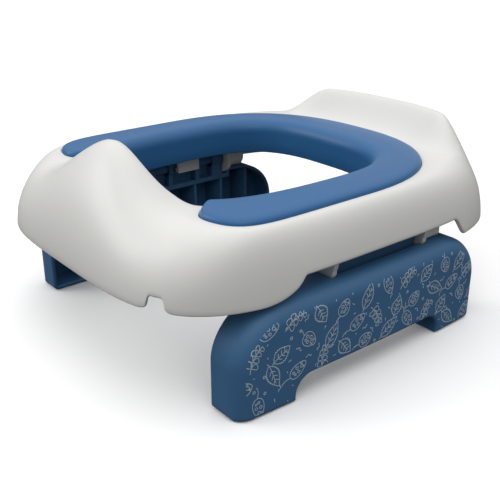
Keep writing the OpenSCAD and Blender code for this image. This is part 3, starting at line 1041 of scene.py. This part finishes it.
@dataclass(frozen=True)
class LegForm:
    """Sizes of a leg, and the outline of its side, with y measured from the leg's middle."""

    length: float = 236
    height: float = 72
    thickness: float = 27
    face_x: float = 136
    bulge: float = 3
    wall: float = 3
    arch_l: float = 141
    arch_h: float = 17
    arch_r: float = 13
    base_z: float = 0.6
    end_run: float = 43
    end_drop: float = 37
    fillet: float = 12
    small_fillet: float = 2.5
    heel_r: float = 4
    middle_y: float = -4.5
    hinge_x: float = 114
    hinge_y: float = 11.75
    hinge_z: float = 82

    @property
    def inner_x(self) -> float:
        """Where the leg's open inner side lies."""
        return self.face_x - self.thickness

    def face(self, y: np.ndarray) -> np.ndarray:
        """The outer face's place: a parabola across the leg's length, highest at its middle."""
        return self.face_x + self.bulge * (1 - (2 * y / self.length) ** 2)

    def outline(self) -> tuple[np.ndarray, np.ndarray]:
        """The closed outline of the leg's side, and how round its outer edge is at each point.

        Returns:
            Points of [y, z] in order, anticlockwise seen from +X, of shape (n, 2), and the
            radius of the outer edge at each, large over the top and ends and small at the
            bottom and round the arch.
        """
        half, cy, cz = self.length / 2, self.length / 2 - self.end_run, self.height - self.end_drop
        t = np.radians(np.linspace(0, 90, 40))
        right = np.stack([cy + self.end_run * np.cos(t), cz + self.end_drop * np.sin(t)], 1)
        top = np.stack([np.linspace(cy, -cy, 70)[1:-1], np.full(68, self.height)], 1)
        left = right[::-1] * (-1, 1)
        heel, low = self.heel_r, self.base_z + self.heel_r
        w = np.radians(np.linspace(-90, 0, 9)[1:-1])
        bend = np.stack([half - heel + heel * np.cos(w), low + heel * np.sin(w)], 1)
        up = np.concatenate([bend, np.stack([np.full(15, half), np.linspace(low, cz, 16)[:-1]], 1)])
        down = up[::-1] * (-1, 1)
        ay, az = self.arch_l / 2 - self.arch_r, self.arch_h - self.arch_r
        sole = np.linspace(-half + heel, -self.arch_l / 2, 18)
        bottom_left = np.stack([sole, np.full(18, self.base_z)], 1)
        u = np.radians(np.linspace(180, 90, 14))
        arc = np.stack([-ay + self.arch_r * np.cos(u), az + self.arch_r * np.sin(u)], 1)
        across = np.stack([np.linspace(-ay, ay, 50)[1:-1], np.full(48, self.arch_h)], 1)
        other = arc[::-1] * (-1, 1)
        bottom_right = bottom_left[::-1] * (-1, 1)
        parts = [up, right, top, left, down, bottom_left, arc, across, other, bottom_right]
        points = np.concatenate(parts)
        big = sum(len(p) for p in parts[:5])
        round_edge = np.full(len(points), self.small_fillet)
        z = points[:big, 1]
        round_edge[:big] = mix(self.small_fillet, self.fillet, smooth(self.base_z, 16, z))
        return points, round_edge

    def beside(self, y: np.ndarray, z: np.ndarray) -> np.ndarray:
        """How far places on the leg's side are from its top and ends, measured inwards.

        Args:
            y: places along the leg from its middle.
            z: heights.

        Returns:
            The distance, along a ray from the corner ellipse's centre where there is a corner.
        """
        cy, cz = self.length / 2 - self.end_run, self.height - self.end_drop
        u, v = np.maximum(np.abs(y) - cy, 0) / self.end_run, np.maximum(z - cz, 0) / self.end_drop
        reach = np.maximum(np.hypot(u, v), 1e-6)
        far = np.hypot(self.end_run * u, self.end_drop * v) / reach
        return np.where(u > 0, (1 - reach) * far, self.height - z)

    def above_base(self, y: np.ndarray, z: np.ndarray) -> np.ndarray:
        """How far places on the leg's side are from its bottom and its arch."""
        ay, az = self.arch_l / 2 - self.arch_r, self.arch_h - self.arch_r
        arch = np.hypot(np.maximum(np.abs(y) - ay, 0), np.maximum(z - az, 0)) - self.arch_r
        return np.minimum(z - self.base_z, arch)

    def skin_x(self, y: np.ndarray, z: np.ndarray, inset: float) -> np.ndarray:
        """The leg's outer surface, or its inner skin at an inset.

        Args:
            y: places along the leg from its middle.
            z: heights.
            inset: how far the skin lies inside the outer surface.

        Returns:
            The face's place less the drop of its large rounding towards the top and ends and
            of its small rounding towards the bottom and the arch.
        """
        x = self.face(y) - inset
        for reach, wide in (
            (self.beside(y, z), self.fillet), (self.above_base(y, z), self.small_fillet)
        ):
            r = max(wide - inset, 0.8)
            left = r - np.clip(reach - inset, 0, r)
            x = x - (r - np.sqrt(np.maximum(r**2 - left**2, 0)))
        return x

    def inward(self, points: np.ndarray) -> np.ndarray:
        """Unit normals into a closed anticlockwise outline, from each point's two neighbours."""
        d1 = points - np.roll(points, 1, 0)
        d2 = np.roll(points, -1, 0) - points
        d1 /= np.maximum(np.linalg.norm(d1, axis=1, keepdims=True), 1e-9)
        d2 /= np.maximum(np.linalg.norm(d2, axis=1, keepdims=True), 1e-9)
        d = d1 + d2
        d /= np.linalg.norm(d, axis=1, keepdims=True)
        normal = np.stack([-d[:, 1], d[:, 0]], 1)
        cosine = np.clip((d * d1).sum(1), 0.5, 1)
        return normal / cosine[:, None]

    def top_z(self, y: float) -> float:
        """The height of the leg's top at a place along it."""
        over = max(abs(y) - (self.length / 2 - self.end_run), 0) / self.end_run
        return self.height - self.end_drop + self.end_drop * math.sqrt(1 - over**2)


@dataclass
class PrintedPattern:
    """The pale line pattern printed on a leg's outer face: leaves, sprigs, pods and marks.

    Attributes:
        form: the leg's sizes.
        line: the width of a line.
        rise: how far a line stands off the face.
        pitch: the drawings' spacing along a row.
        margin: how far the small marks stay from the leg's outline.
        small_marks: how many places are tried for the small marks.
        mark_gap: the least distance between two centres.
        rows: each row's height, and its shift as a share of the pitch.
        foot_from: how far from the leg's middle the lowest row starts.
        seed: the seed of the random draws.
    """

    form: LegForm = field(default_factory=LegForm)
    line: float = 0.52
    rise: float = 0.06
    pitch: float = 20.5
    margin: float = 7
    small_marks: int = 900
    mark_gap: float = 7.5
    rows: tuple = ((57, 0.0), (41, 0.5), (25, 0.1), (9, 0.6))
    foot_from: float = 80
    seed: int = 11

    def leaf(self, length: float, width: float, teeth: int) -> list[np.ndarray]:
        """A toothed leaf: a pointed oval whose edge has small teeth, a midrib and side veins."""
        t = np.linspace(0, 1, 90)
        tooth = np.abs(((t * teeth) % 1) - 0.5) - 0.25
        half = width / 2 * np.sin(np.pi * t**0.8) * (1 + 0.5 * tooth)
        along = length * (t - 0.5)
        both = np.concatenate([half, -half[::-1]])
        edge = np.stack([np.concatenate([along, along[::-1]]), both], 1)
        wave = 0.03 * length * np.sin(np.linspace(0, 5, 24))
        rib = np.stack([np.linspace(-0.62, 0.3, 24) * length, wave], 1)
        starts = np.linspace(-0.25, 0.15, 3) * length
        veins = [
            np.stack([s + np.linspace(0, 0.13, 6) * length, w * np.linspace(0, 0.27, 6) * width], 1)
            for s in starts for w in (-1, 1)
        ]
        return [edge, rib, *veins]

    def ring(self, centre: tuple, radius: float) -> np.ndarray:
        """A small circle."""
        t = np.linspace(0, 2 * np.pi, 15)
        return np.stack([centre[0] + radius * np.cos(t), centre[1] + radius * np.sin(t)], 1)

    def pod(self, length: float, width: float) -> list[np.ndarray]:
        """A seed pod: an oval with a curled stalk, filled with small circles."""
        t = np.linspace(0, 2 * np.pi, 60)
        half = width / 2 * np.sin(t) * (1 - 0.25 * np.cos(t))
        edge = np.stack([0.32 * length * np.cos(t), half], 1)
        s = np.linspace(0, 1, 24)
        stalk = np.stack([(-0.32 - 0.36 * s) * length, 0.2 * width * np.sin(2.6 * s)], 1)
        seeds = [
            (-0.17, 0.1, 0.1), (-0.02, -0.2, 0.11), (0.0, 0.2, 0.12), (0.15, -0.02, 0.13),
            (-0.15, -0.17, 0.08), (0.19, 0.24, 0.07), (0.2, -0.24, 0.07),
        ]
        spots = [self.ring((x * length, y * width), r * width) for x, y, r in seeds]
        return [edge, stalk, *spots]

    def sprig(self, length: float, width: float) -> list[np.ndarray]:
        """A sprig: a curved stem with a pair of looped leaflets at each of its joints."""
        s = np.linspace(0, 1, 40)
        stem = np.stack([(s - 0.5) * length, 0.12 * length * np.sin(np.pi * s)], 1)
        t = np.linspace(0, 1, 18)
        lines = [stem]
        for place in (0.2, 0.42, 0.64, 0.84):
            root = np.array([(place - 0.5) * length, 0.12 * length * math.sin(math.pi * place)])
            size = 0.42 * width * (1.15 - 0.5 * place)
            for way in (-1, 1):
                loop = np.stack([size * np.sin(np.pi * t) * (0.5 + 0.5 * t),
                                 size * 0.32 * np.sin(2 * np.pi * t)], 1)
                lines.append(loop @ spin(way * math.radians(58)) + root)
        return lines

    def squiggle(self, length: float) -> list[np.ndarray]:
        """A short wavy line."""
        s = np.linspace(0, 1, 24)
        return [np.stack([(s - 0.5) * length, 0.14 * length * np.sin(9 * s)], 1)]

    def printable(self, points: np.ndarray) -> np.ndarray:
        """Whether points [y, z] from the leg's middle lie on the flat part of the face.

        Args:
            points: of shape (..., 2).

        Returns:
            True inside the top's and ends' rounding, above the feet's bottoms and off the arch.
        """
        f, edge = self.form, self.margin
        y, z = np.abs(points[..., 0]), points[..., 1]
        run, drop = f.end_run - edge, f.end_drop - edge
        cy, cz = f.length / 2 - f.end_run, f.height - f.end_drop
        corner = ((np.maximum(y - cy, 0) / run) ** 2 + (np.maximum(z - cz, 0) / drop) ** 2) < 1
        ay, az, r = f.arch_l / 2 - f.arch_r, f.arch_h - f.arch_r, f.arch_r + 1.6
        in_arch = (y < ay + r) & (np.hypot(np.maximum(y - ay, 0), np.maximum(z - az, 0)) < r)
        return corner & (z > f.base_z + 2.2) & ~in_arch

    def ribbon(self, path: np.ndarray) -> Surface | None:
        """A line of the print as a thin ribbon on the face, without what falls off it.

        Args:
            path: points [y, z] along the line, of shape (n, 2).

        Returns:
            Quads half the line's width to each side of the path, or None if none are left.
        """
        along = np.gradient(path, axis=0)
        along /= np.maximum(np.linalg.norm(along, axis=1, keepdims=True), 1e-9)
        across = np.stack([-along[:, 1], along[:, 0]], 1) * self.line / 2
        flat = np.stack([path - across, path + across], 1)
        kept = self.printable(flat).all(1)
        number = np.arange(len(path) * 2).reshape(-1, 2)
        both = kept[:-1] & kept[1:]
        quads = np.stack([number[:-1, 0], number[1:, 0], number[1:, 1], number[:-1, 1]], 1)[both]
        if not len(quads):
            return None
        y, z = flat[..., 0].ravel(), flat[..., 1].ravel()
        points = np.stack([self.form.skin_x(y, z, 0) + self.rise, y + self.form.middle_y, z], 1)
        used, quads = np.unique(quads, return_inverse=True)
        return Surface(points[used], [quads.reshape(-1, 4)])

    def motifs(self) -> list[np.ndarray]:
        """Every line of the print.

        Returns:
            Paths of [y, z] from the leg's middle: four staggered rows of drawings, turned at
            random from a fixed seed, with small marks between them.
        """
        draw = np.random.default_rng(self.seed)
        kinds = [
            lambda: self.leaf(19, 9.5, 11), lambda: self.pod(23, 8.5), lambda: self.sprig(19, 15),
            lambda: self.leaf(15, 10.5, 9), lambda: self.pod(19, 9.5),
        ]
        lines: list[np.ndarray] = []
        taken: list[tuple[float, float]] = []
        for row, (z, shift) in enumerate(self.rows):
            for k, y in enumerate((np.arange(-5.5, 6) + shift) * self.pitch):
                if row == 3 and abs(y) < self.foot_from:
                    continue
                angle = math.radians(draw.uniform(20, 80) * (1 if (k + row) % 3 else -1))
                centre = (y + draw.uniform(-2, 2), z + draw.uniform(-2, 2))
                drawing = kinds[(2 * row + k) % len(kinds)]()
                lines += [path @ spin(angle) + centre for path in drawing]
                taken.append(centre)
        for _ in range(self.small_marks):
            centre = np.array([draw.uniform(-116, 116), draw.uniform(3, 64)])
            kind, angle = draw.integers(4), draw.uniform(0, math.pi)
            spread = min(math.hypot(*(centre - np.array(c))) for c in taken)
            if spread < self.mark_gap:
                continue
            mark = [
                [self.ring((0, 0), 0.9)], [np.array([[-1.3, 0], [0, 0.2], [1.3, 0]])],
                self.squiggle(5), [np.array([[-0.8, 0], [0.8, 0.3]])],
            ][kind]
            lines += [path @ spin(angle) + centre for path in mark]
            taken.append(tuple(centre))
        return lines

    def build(self, side: Side) -> bpy.types.Object:
        """Builds the print as a thin raised layer and sets it on its leg.

        Args:
            side: which leg it is on.

        Returns:
            The finished piece.
        """
        ribbons = [r for r in map(self.ribbon, self.motifs()) if r]
        layer = Surface.join(ribbons).on(side).build(f"{side.word}_leg_print", outward=False)
        thick = layer.modifiers.new("ink", "SOLIDIFY")
        thick.thickness = 0.12 * MM
        thick.offset = -1
        apply_modifiers(layer)
        return fit(layer, INK, f"{side.word}_leg")


@dataclass
class Leg:
    """A folding leg: a rounded shell open on its inner side, with ribs, a shelf and its hinge."""

    form: LegForm = field(default_factory=LegForm)
    rib_t: float = 2.4
    ribs: int = 7
    shelf_z: float = 67
    shelf_t: float = 4
    recess_out: float = 124
    recess_half: float = 48.25
    ear_pitch: float = 90.5
    pocket_half: float = 2.4
    pocket_out: float = 127
    block_out: float = 130
    hinge_half: float = 42.85
    knuckle_l: float = 12
    knuckle_r: float = 7
    post_half: float = 14.5
    post_t: float = 4
    bar_r: float = 4
    drum_r: float = 6.5
    notch_w: float = 3.6
    notch_depth: float = 2.4
    wall_x: float = 116.5
    wall_t: float = 2.5

    def sheet(self, inset: float, rim: float) -> tuple[list[np.ndarray], Surface]:
        """One skin of the shell: its side wall and rounding as rings, and its flat face.

        Args:
            inset: how far the skin lies inside the leg's outer surface.
            rim: where the side wall starts.

        Returns:
            The rings from the rim up, each of shape (n, 3), and the face inside the last one.
            Over the rounding, with t from 0 to a right angle, a ring lies r (1 - cos t) inside
            the outline, on the skin's surface.
        """
        f = self.form
        outline, radius = f.outline()
        normal = f.inward(outline)
        r = np.maximum(radius - inset, 0.8)
        rings = []
        for x in np.linspace(rim, f.inner_x + 8, 5):
            at = outline + normal * inset
            rings.append(np.stack([np.full(len(at), x), at[:, 0], at[:, 1]], 1))
        for t in np.radians(np.linspace(0, 90, 15)):
            at = outline + normal * (inset + r * (1 - math.cos(t)))[:, None]
            rings.append(np.stack([f.skin_x(at[:, 0], at[:, 1], inset), at[:, 0], at[:, 1]], 1))
        last = rings[-1]
        n = len(last)
        inside = [Vector(p) for p in last[:, 1:]]
        ys = np.arange(-f.length / 2 + 6, f.length / 2 - 5, 5.9)
        zs = np.arange(6, f.height - 5, 6.3)
        lattice = np.stack(np.meshgrid(ys, zs), -1).reshape(-1, 2)
        heel_y, heel_z = f.length / 2 - np.arange(3.4, 13, 1.4), np.arange(4, 17, 1.7)
        ends = np.stack(np.meshgrid(heel_y, heel_z), -1).reshape(-1, 2)
        beside = f.beside(lattice[:, 0], lattice[:, 1])
        lattice = lattice[(beside > f.fillet + 1) & (f.above_base(*lattice.T) > f.small_fillet + 2)]
        own = mix(f.small_fillet, f.fillet, smooth(f.base_z, 16, ends[:, 1]))
        ends = ends[f.beside(*ends.T) > np.maximum(own, inset) + 0.8]
        ends = ends[f.above_base(*ends.T) > np.maximum(f.small_fillet, inset + 0.8) + 0.8]
        lattice = np.concatenate([lattice, ends, ends * (-1, 1)])
        edges = [(i, (i + 1) % n) for i in range(n)]
        found = geometry.delaunay_2d_cdt(inside + [Vector(p) for p in lattice], edges, [], 1, 1e-5)
        at = np.array([tuple(v) for v in found[0]])
        skin = np.stack([f.skin_x(at[:, 0], at[:, 1], inset), at[:, 0], at[:, 1]], 1)
        return rings, Surface(skin, [np.array(found[2])])

    def shell(self) -> bpy.types.Object:
        """The closed shell: outer skin, inner skin and the rounded rim between them."""
        f = self.form
        outer, outer_face = self.sheet(0, f.inner_x + 0.8)
        inner, inner_face = self.sheet(f.wall, f.inner_x + 0.8)
        out, inn = outer[0], inner[0]
        t = np.radians(np.linspace(0, 180, 6)[1:-1])
        rim = [mix(out, inn, (1 - math.cos(a)) / 2) - (0.8 * math.sin(a), 0, 0) for a in t]
        rings = outer[::-1] + rim + inner
        skin = Surface.grid(np.stack(rings), close_columns=True)
        whole = Surface.join([skin, outer_face, inner_face])
        whole.points = whole.points + (0, f.middle_y, 0)
        shell = whole.build("shell", outward=False)
        with editing(shell.data, shell.data) as edited:
            bmesh.ops.remove_doubles(edited, verts=edited.verts, dist=0.02 * MM)
            bmesh.ops.recalc_face_normals(edited, faces=edited.faces)
        cut_away(shell, self.recesses())
        return shell

    def recesses(self) -> list[Surface]:
        """The room above the shelf, with its pockets for the ears."""
        f = self.form
        y, top = f.hinge_y, f.height + 2
        room = Surface.box(
            (f.inner_x - 2, self.recess_out), (y - self.recess_half, y + self.recess_half),
            (self.shelf_z, top),
        )
        return [room] + [self.pocket(end) for end in End]

    def pocket(self, end: End) -> Surface:
        """The pocket that one ear turns in."""
        f = self.form
        middle = f.hinge_y + end.value * self.ear_pitch / 2
        return Surface.box(
            (f.inner_x - 2, self.pocket_out),
            (middle - self.pocket_half, middle + self.pocket_half), (self.shelf_z, f.height + 2),
        )

    def rib(self, y: float) -> Surface:
        """A rib across the leg's inside: its outline in x and z, with the outer corner rounded."""
        f = self.form
        x0, x1 = f.inner_x + 2, float(f.face(np.array(y))) - 1.5
        low = f.arch_h + 1 if abs(y) < f.arch_l / 2 else f.base_z + 1.5
        high, r = f.top_z(y) - 1.5, f.fillet - 1.5
        near_hinge = abs(y + f.middle_y - f.hinge_y) < self.recess_half + f.wall
        if near_hinge:
            high, r = self.shelf_z - self.shelf_t + 1, 2.0
        t = np.radians(np.linspace(0, 90, 8))
        corner = np.stack([x1 - r + r * np.cos(t), high - r + r * np.sin(t)], 1)
        outline = np.vstack([[[x0, low], [x1, low]], corner, [[x0, high]]])
        middle = y + f.middle_y
        return Surface.prism(outline, 1, middle - self.rib_t / 2, middle + self.rib_t / 2)

    def shelf(self) -> list[Surface]:
        """The shelf under the hinge, and the block behind it that the ears' pockets are cut in."""
        f = self.form
        half = self.recess_half + f.wall
        y0, y1 = f.hinge_y - half, f.hinge_y + half
        low = self.shelf_z - self.shelf_t
        ends = [f.hinge_y + e.value * self.ear_pitch / 2 for e in End]
        cuts = [y0, ends[0] - self.pocket_half, ends[0] + self.pocket_half,
                ends[1] - self.pocket_half, ends[1] + self.pocket_half, y1]
        parts = [Surface.box((f.inner_x + 0.5, self.block_out), (y0, y1), (low, self.shelf_z))]
        height = (self.shelf_z - 0.5, f.height - 2)
        for i, span in enumerate(zip(cuts, cuts[1:])):
            x = self.pocket_out if i % 2 else self.recess_out
            parts.append(Surface.box((x, self.block_out), span, height))
        for y in (y0, y1 - f.wall):
            parts.append(Surface.box((f.inner_x + 0.5, self.recess_out), (y, y + f.wall),
                                     (self.shelf_z - 0.5, f.height - 0.8)))
        return parts

    def drum(self) -> np.ndarray:
        """The lock drum's outline: a circle with square notches at its inner side and its bottom.

        Returns:
            Points of [x, z] from the hinge's axis, of shape (n, 2).
        """
        r, half, floor = self.drum_r, self.notch_w / 2, self.notch_depth - self.drum_r
        gap = math.degrees(math.asin(half / r))
        large = np.radians(np.linspace(gap - 90, 180 - gap, 48))
        small = np.radians(np.linspace(180 + gap, 270 - gap, 12))
        return np.vstack([
            np.stack([r * np.cos(large), r * np.sin(large)], 1), [[floor, half], [floor, -half]],
            np.stack([r * np.cos(small), r * np.sin(small)], 1), [[-half, floor], [half, floor]],
        ])

    def hinge(self) -> list[Surface]:
        """The hinge's wall, knuckles, posts, bar and lock drum, standing on the shelf."""
        f = self.form
        x, y, z = f.hinge_x, f.hinge_y, f.hinge_z
        low = self.shelf_z - 1
        parts = [
            Surface.box((self.wall_x, self.wall_x + self.wall_t),
                        (y - self.hinge_half, y + self.hinge_half), (low, z + 3)),
            Surface.rod((x, z), (y - self.hinge_half + 1, y + self.hinge_half - 1), self.bar_r),
            Surface.prism(self.drum() + (x, z), 1, y - self.post_half, y + self.post_half),
        ]
        for end in End:
            outer = y + end.value * self.hinge_half
            inner = outer - end.value * self.knuckle_l
            post = (y + end.value * (self.post_half - self.post_t / 2),
                    y + end.value * (self.post_half + self.post_t / 2))
            for span in ((outer, inner), post):
                parts.append(Surface.rod((x, z), span, self.knuckle_r))
                ends = (min(span), max(span))
                parts.append(Surface.box((x - 5, self.wall_x + 1), ends, (low, z)))
        return parts

    def build(self, side: Side) -> bpy.types.Object:
        """Builds a leg, dresses it and sets it on its body.

        Args:
            side: which leg.

        Returns:
            The finished piece.
        """
        f = self.form
        places = [f.length * (i / (self.ribs + 1) - 0.5) for i in range(1, self.ribs + 1)]
        ribs = [self.rib(y) for y in places]
        inside = Surface.join(ribs + self.shelf() + self.hinge()).build("inside")
        soften_edges(inside, 0.5)
        leg = join_objects([self.shell(), inside], f"{side.word}_folding_leg")
        if side is Side.LEFT:
            size = len(leg.data.vertices)
            points = np.empty(size * 3, np.float32)
            leg.data.vertices.foreach_get("co", points)
            points[0::3] *= -1
            leg.data.vertices.foreach_set("co", points)
            leg.data.flip_normals()
            leg.data.update()
        return fit(leg, LEG_BLUE, f"{side.word}_leg", f"{side.word}_leg")


# Small parts


@dataclass
class SmallParts:
    """Brackets, lock parts, feet, pins, screws and springs, on their CAD shapes."""

    bracket_round: float = 1.0
    lock_round: float = 0.6
    foot_round: float = 0.7

    def rounded(self) -> None:
        """Makes the parts that show with their edges rounded."""
        for side in Side:
            s = side.word
            for end in End:
                node = f"{s}_{end.word}_bracket"
                piece = rounded_copy(node, f"{s}_{end.word}_hinge_bracket", self.bracket_round)
                fit(piece, WHITE, "seat", node)
                node = f"{s}_{end.word}_foot"
                piece = rounded_copy(node, f"{s}_{end.word}_foot_pad", self.foot_round)
                fit(piece, RUBBER, f"{s}_leg", node)
            piece = rounded_copy(f"{s}_lock_housing", f"{s}_lock_case", self.lock_round)
            fit(piece, WHITE, "seat", f"{s}_lock_housing")
            piece = rounded_copy(f"{s}_lock_tab", f"{s}_lock_slider", self.lock_round)
            fit(piece, WHITE, f"{s}_lock_tab", f"{s}_lock_tab")

    def kept(self) -> None:
        """Dresses the CAD nodes that stay as they are."""
        metal = ["bracket_screws", "housing_screws"]
        for side in Side:
            metal += [f"{side.word}_{end.word}_pin" for end in End] + [f"{side.word}_lock_spring"]
        for node in metal:
            STEEL.dress(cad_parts[node])
            LOG.info("%s stays, in %s", node, STEEL.name)


# Studio


@dataclass
class Studio:
    """Pale floor, soft light from above and the camera.

    Attributes:
        camera_place: where the camera stands, in metres.
        camera_tilt: its tilt up from looking straight down, in degrees.
        camera_turn: its turn around the vertical axis, in degrees.
        lens: its focal length, in millimetres.
        floor_half: half the floor's width, in metres.
        sky_low: the sky's strength at the horizon.
        sky_high: the sky's strength overhead.
        floor_seen: the floor's tone where the camera sees it.
        floor_bounce: the floor's tone for the light that it sends on.
        key: the main lamp's place, size and power.
        fill: the second lamp's place, size and power.
        aim_z: the height that the lamps face, in metres.
    """

    camera_place: tuple = (0.44208, -0.36328, 0.28428)
    camera_tilt: float = 66.912
    camera_turn: float = 50.6875
    lens: float = 55.51
    floor_half: float = 9.0
    sky_low: float = 0.04
    sky_high: float = 1.55
    floor_seen: float = 1.0
    floor_bounce: float = 0.12
    key: tuple = ((-1.1, -1.3, 1.05), 1.0, 10)
    fill: tuple = ((0.5, -0.3, 0.8), 0.4, 0.7)
    aim_z: float = 0.08

    def floor(self) -> None:
        """A wide, plain, pale floor at z = 0."""
        h = self.floor_half / MM
        corners = np.array([[-h, -h, 0], [h, -h, 0], [h, h, 0], [-h, h, 0]], float)
        plane = Surface(corners, [np.array([[0, 1, 2, 3]])]).build("floor", outward=False)
        material = bpy.data.materials.new("pale_floor")
        material.use_nodes = True
        shader = material.node_tree.nodes["Principled BSDF"]
        n = Nodes(material.node_tree)
        direct = n.add("LightPath").outputs["Is Camera Ray"]
        tones = [(v, v, v, 1.0) for v in (self.floor_bounce, self.floor_seen)]
        n.tree.links.new(n.blend(direct, *tones), shader.inputs["Base Color"])
        shader.inputs["Roughness"].default_value = 0.9
        shader.inputs["Specular IOR Level"].default_value = 0.1
        plane.data.materials.append(material)

    def sky(self) -> None:
        """A white dome that lights more from overhead than from the horizon, and shows as white."""
        world = bpy.data.worlds.new("studio")
        bpy.context.scene.world = world
        world.use_nodes = True
        n = Nodes(world.node_tree)
        back = world.node_tree.nodes["Background"]
        up = n.add("SeparateXYZ", {0: n.add("TexCoord").outputs["Generated"]}).outputs["Z"]
        ends = {"From Min": 0.0, "From Max": 1.0, "To Min": self.sky_low, "To Max": self.sky_high}
        strength = n.add("MapRange", {"Value": up, **ends}).outputs[0]
        back.inputs["Color"].default_value = (1, 1, 1, 1)
        direct = n.add("LightPath").outputs["Is Camera Ray"]
        shown = n.maths("MAXIMUM", strength, direct)
        world.node_tree.links.new(shown, back.inputs["Strength"])

    def lamp(self, name: str, place: tuple, size: float, power: float) -> None:
        """A square area light that faces the chair.

        Args:
            name: the light's name.
            place: where it is, in metres.
            size: the length of its side, in metres.
            power: in watts.
        """
        data = bpy.data.lights.new(name, "AREA")
        data.size, data.energy = size, power
        lamp = placed(name, data)
        lamp.location = place
        aim = Vector((0, 0, self.aim_z)) - Vector(place)
        lamp.rotation_euler = aim.to_track_quat("-Z", "Y").to_euler()

    def camera(self) -> None:
        """The camera at its viewing angle."""
        data = bpy.data.cameras.new("camera")
        data.lens, data.sensor_width = self.lens, 36
        data.clip_start = 0.01
        camera = placed("camera", data)
        camera.location = self.camera_place
        camera.rotation_euler = (math.radians(self.camera_tilt), 0, math.radians(self.camera_turn))
        bpy.context.scene.camera = camera

    def build(self) -> None:
        """Sets up the floor, the light, the camera and a plain colour transform."""
        self.floor()
        self.sky()
        self.lamp("key", *self.key)
        self.lamp("fill", *self.fill)
        self.camera()
        bpy.context.scene.view_settings.view_transform = "Standard"
        LOG.info("studio ready")


def main() -> None:
    """Builds every piece in order."""
    logging.basicConfig(level=logging.INFO, format="%(name)s: %(message)s")
    Studio().build()
    form = SeatForm()
    SeatShell(form).build()
    SoftPad(form).build()
    for side in Side:
        Leg().build(side)
        PrintedPattern().build(side)
    parts = SmallParts()
    parts.rounded()
    parts.kept()


if __name__ == "__main__":
    main()
